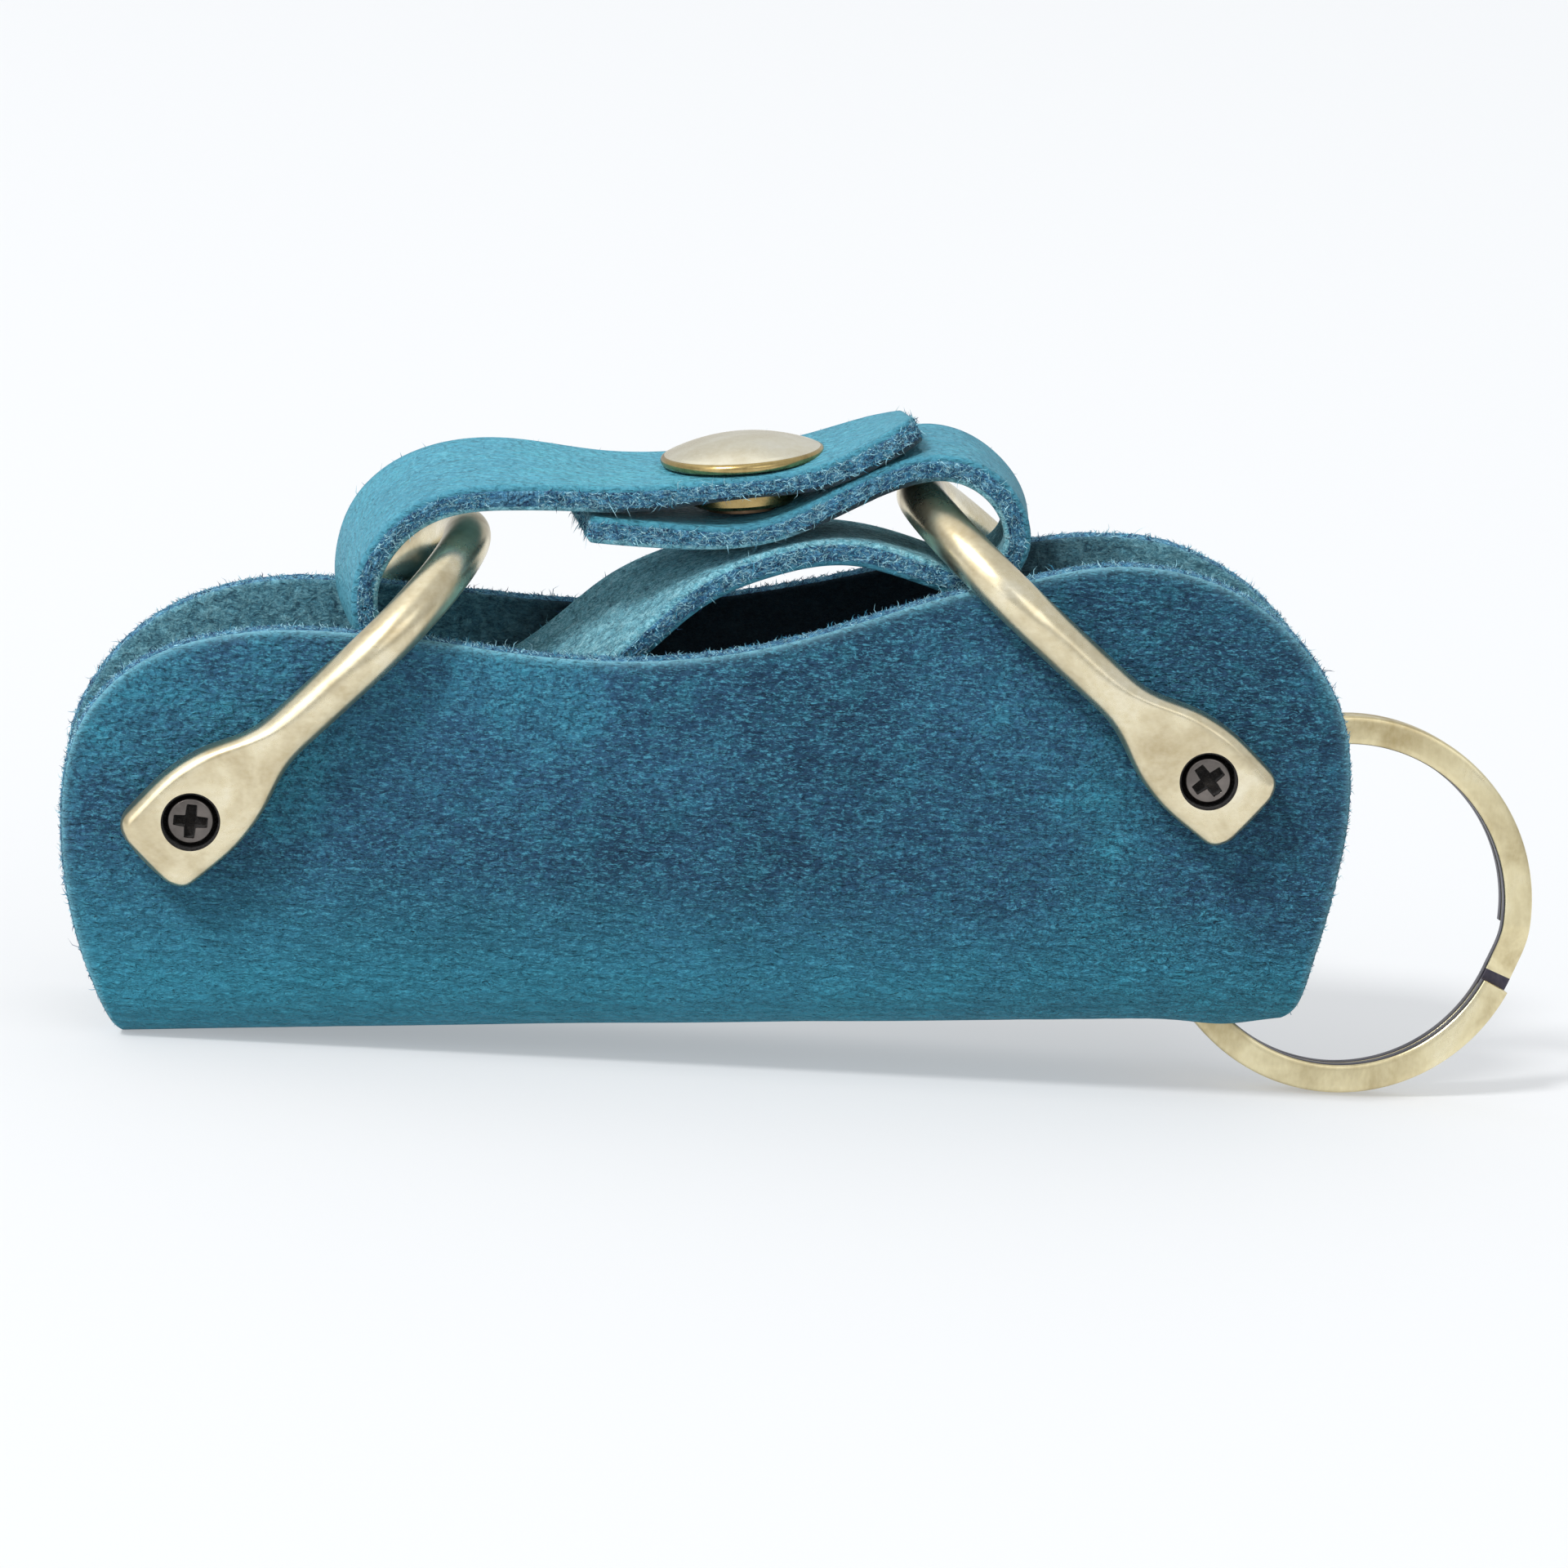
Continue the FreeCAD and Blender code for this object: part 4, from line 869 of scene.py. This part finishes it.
def makeRing():
    # A rounded rectangle carried two turns round a circle, its width along the radius and its thickness along
    # the axis. It drops from the front turn to the rear one at the jog.
    f = ringForm
    start = -(f["jogStart"] + f["jogSweep"])
    degrees = np.linspace(start - 0.35, start - 720 + f["jogSweep"] + 0.35, 560)
    lift = (f["thick"] + f["gap"]) / 2
    onRear = smoothStep(-degrees, 360 + f["jogStart"] + 0.5, 360 + f["jogStart"] + f["jogSweep"] - 4.5)
    height = lift - 2 * lift * onRear
    middle = f["radius"] - f["width"] / 2
    angle = np.linspace(0, 2 * math.pi, 40, endpoint=False)
    k = f["squareness"]
    halfWidth, halfThick, edge = f["width"] / 2, f["thick"] / 2, f["edge"]
    across = (halfWidth - edge) * np.clip(k * np.cos(angle), -1, 1) + edge * np.cos(angle)
    up = (halfThick - edge) * np.clip(k * np.sin(angle), -1, 1) + edge * np.sin(angle)
    theta = np.radians(degrees)
    # each cut end closes in three shrinking sections
    order = np.concatenate([[0] * 3, np.arange(len(degrees)), [-1] * 3])
    scale = np.concatenate([[0.0, 0.8, 0.95], np.ones(len(degrees)), [0.95, 0.8, 0.0]])[:, None]
    th = theta[order][:, None]
    radial = middle + across[None] * scale
    level = height[order][:, None] + up[None] * scale
    local = np.stack([radial * np.cos(th), radial * np.sin(th), level], -1)
    nudge = np.array([0.07, 0.05, 0.02] + [0.0] * len(degrees) + [-0.02, -0.05, -0.07])[:, None]
    local[..., 0] += -np.sin(th) * nudge
    local[..., 1] += np.cos(th) * nudge
    yaw, pitch = math.radians(f["yawDegrees"]), math.radians(90 - f["pitchDegrees"])
    turn = np.array(Matrix.Rotation(yaw, 3, "Z") @ Matrix.Rotation(pitch, 3, "X"))
    place = np.array(f["centre"]) + local @ turn.T
    faces = gridFaces(*place.shape[:2], closeColumns=True)
    midAngle = angle + angle[1] / 2
    turned = -degrees[np.clip(np.arange(len(order)) - 3, 0, len(degrees) - 1)] - 360
    inGap = (turned > f["jogStart"] + f["jogSweep"] - 4.0) & (turned < f["jogStart"] + f["jogSweep"] + 2.5)
    # painted darker where little light gets in: on the inner face and in the step beside the cut end
    dark = (np.cos(midAngle) < -0.80)[None] | (inGap[:, None] & (np.sin(midAngle) > -0.5)[None])
    ring = makeObject("splitRing", toRow(place.reshape(-1, 3)), faces, [ringBrass, ringShade],
                      dark[:-1].reshape(-1).astype(int), sharp=50.0, merge=1e-6)
    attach(ring, "ring")
    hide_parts("split_ring")


makeRing()
print("cap and ring made")

# the snap socket takes the darker brass: painted shade between the strap layers
for nodeName, material in (("eyelet", agedBrass), ("eyelet_washer", agedBrass), ("left_post", shackleBrass),
                           ("right_post", shackleBrass), ("snap_socket", paintedShadeBrass), ("snap_stud", agedBrass),
                           ("snap_stud_rivet", agedBrass), ("socket_spring", screwSteel)):
    nodes[nodeName].data.materials.clear()
    nodes[nodeName].data.materials.append(material)

# ---- stage, lights and camera ----

# a pale sheet that gives off some light of its own, so that shadows on it stay pale
floorLook = {"base": (0.47, 0.475, 0.48), "glow": (0.965, 0.98, 1.0), "glowStrength": 0.38, "roughness": 0.75,
             "gloss": 0.2}
floorMaterial, _, floorShader = newMaterial("paleFloor")
floorShader.inputs["Base Color"].default_value = (*floorLook["base"], 1)
floorShader.inputs["Emission Color"].default_value = (*floorLook["glow"], 1)
floorShader.inputs["Emission Strength"].default_value = floorLook["glowStrength"]
floorShader.inputs["Roughness"].default_value = floorLook["roughness"]
floorShader.inputs["Specular IOR Level"].default_value = floorLook["gloss"]
floorPoints = np.array([(-4, -4, 0), (4, -4, 0), (4, 6, 0), (-4, 6, 0)], float)
floor = makeObject("floor", floorPoints, [(0, 1, 2, 3)], [floorMaterial])

studio = {
    "exposure": -0.09,
    "sun": {"strength": 2.3, "spread": 11.0, "from": (-0.50, -0.50, 0.72)},
    "world": {"up": 0.76, "side": 0.72, "front": 0.44},
    "lights": [
        {"name": "overhead", "at": (-0.30, 0.12, 0.80), "size": (1.2, 0.9), "watts": 1.3},
        {"name": "leftFill", "at": (-0.75, -0.70, 0.45), "size": (0.7, 0.7), "watts": 1.6},
        {"name": "frontFill", "at": (0.35, -1.0, 0.55), "size": (0.6, 0.5), "watts": 1.2},
    ],
    "aim": (0, 0, 0.02),
    "camera": {"target": (6.4, 0.0, 18.0), "elevation": 12.57, "yaw": 4.06, "roll": 0.32, "distance": 620.0,
               "lens": 180.2},
}


def makeStudio():
    world = bpy.data.worlds.new("studio")
    bpy.context.scene.world = world
    world.use_nodes = True
    tree = world.node_tree
    background = tree.nodes["Background"]
    place = tree.nodes.new("ShaderNodeTexCoord")
    split = addNode(tree, "ShaderNodeSeparateXYZ", {"Vector": place.outputs["Generated"]})
    w = studio["world"]
    upShare = remap(tree, split.outputs[2], -0.1, 0.7, 0.0, 1.0)
    frontShare = remap(tree, split.outputs[1], -0.9, 0.3, 1.0, 0.0)
    low = math2(tree, "ADD", w["side"], math2(tree, "MULTIPLY", frontShare, w["front"] - w["side"]))
    level = math2(tree, "ADD", low, math2(tree, "MULTIPLY", upShare, math2(tree, "SUBTRACT", w["up"], low)))
    background.inputs["Color"].default_value = (0.95, 0.975, 1.0, 1)
    tree.links.new(level, background.inputs["Strength"])
    sun = bpy.data.lights.new("windowLight", "SUN")
    sun.energy, sun.angle = studio["sun"]["strength"], math.radians(studio["sun"]["spread"])
    item = bpy.data.objects.new("windowLight", sun)
    item.rotation_euler = (-Vector(studio["sun"]["from"])).to_track_quat("-Z", "Y").to_euler()
    bpy.context.scene.collection.objects.link(item)
    for spec in studio["lights"]:
        lamp = bpy.data.lights.new(spec["name"], "AREA")
        lamp.shape = "RECTANGLE"
        lamp.size, lamp.size_y = spec["size"]
        lamp.energy = spec["watts"]
        item = bpy.data.objects.new(spec["name"], lamp)
        item.location = spec["at"]
        item.rotation_euler = (Vector(studio["aim"]) - Vector(spec["at"])).to_track_quat("-Z", "Y").to_euler()
        bpy.context.scene.collection.objects.link(item)


def makeCamera():
    # looks down by the elevation and from the left by the yaw, both counted in the level case's frame
    c = studio["camera"]
    e, y, r = (math.radians(c[k]) for k in ("elevation", "yaw", "roll"))
    forward = Vector((math.sin(y) * math.cos(e), math.cos(y) * math.cos(e), -math.sin(e)))
    rightward = Vector((math.cos(y), -math.sin(y), 0))
    upward = rightward.cross(forward)
    rolledRight = rightward * math.cos(r) + upward * math.sin(r)
    rolledUp = upward * math.cos(r) - rightward * math.sin(r)
    camera = bpy.data.cameras.new("camera")
    camera.sensor_width = 36.0
    camera.lens = c["lens"]
    camera.clip_start, camera.clip_end = 0.01, 30.0
    item = bpy.data.objects.new("camera", camera)
    axes = Matrix((turnToRow(rolledRight), turnToRow(rolledUp), -turnToRow(forward))).transposed()
    place = Vector(toRow(c["target"])) - turnToRow(forward) * c["distance"] * 0.001
    item.matrix_world = Matrix.Translation(place) @ axes.to_4x4()
    bpy.context.scene.collection.objects.link(item)
    bpy.context.scene.camera = item


makeStudio()
makeCamera()
bpy.context.scene.view_settings.view_transform = "Standard"
bpy.context.scene.view_settings.exposure = studio["exposure"]
print("studio made")
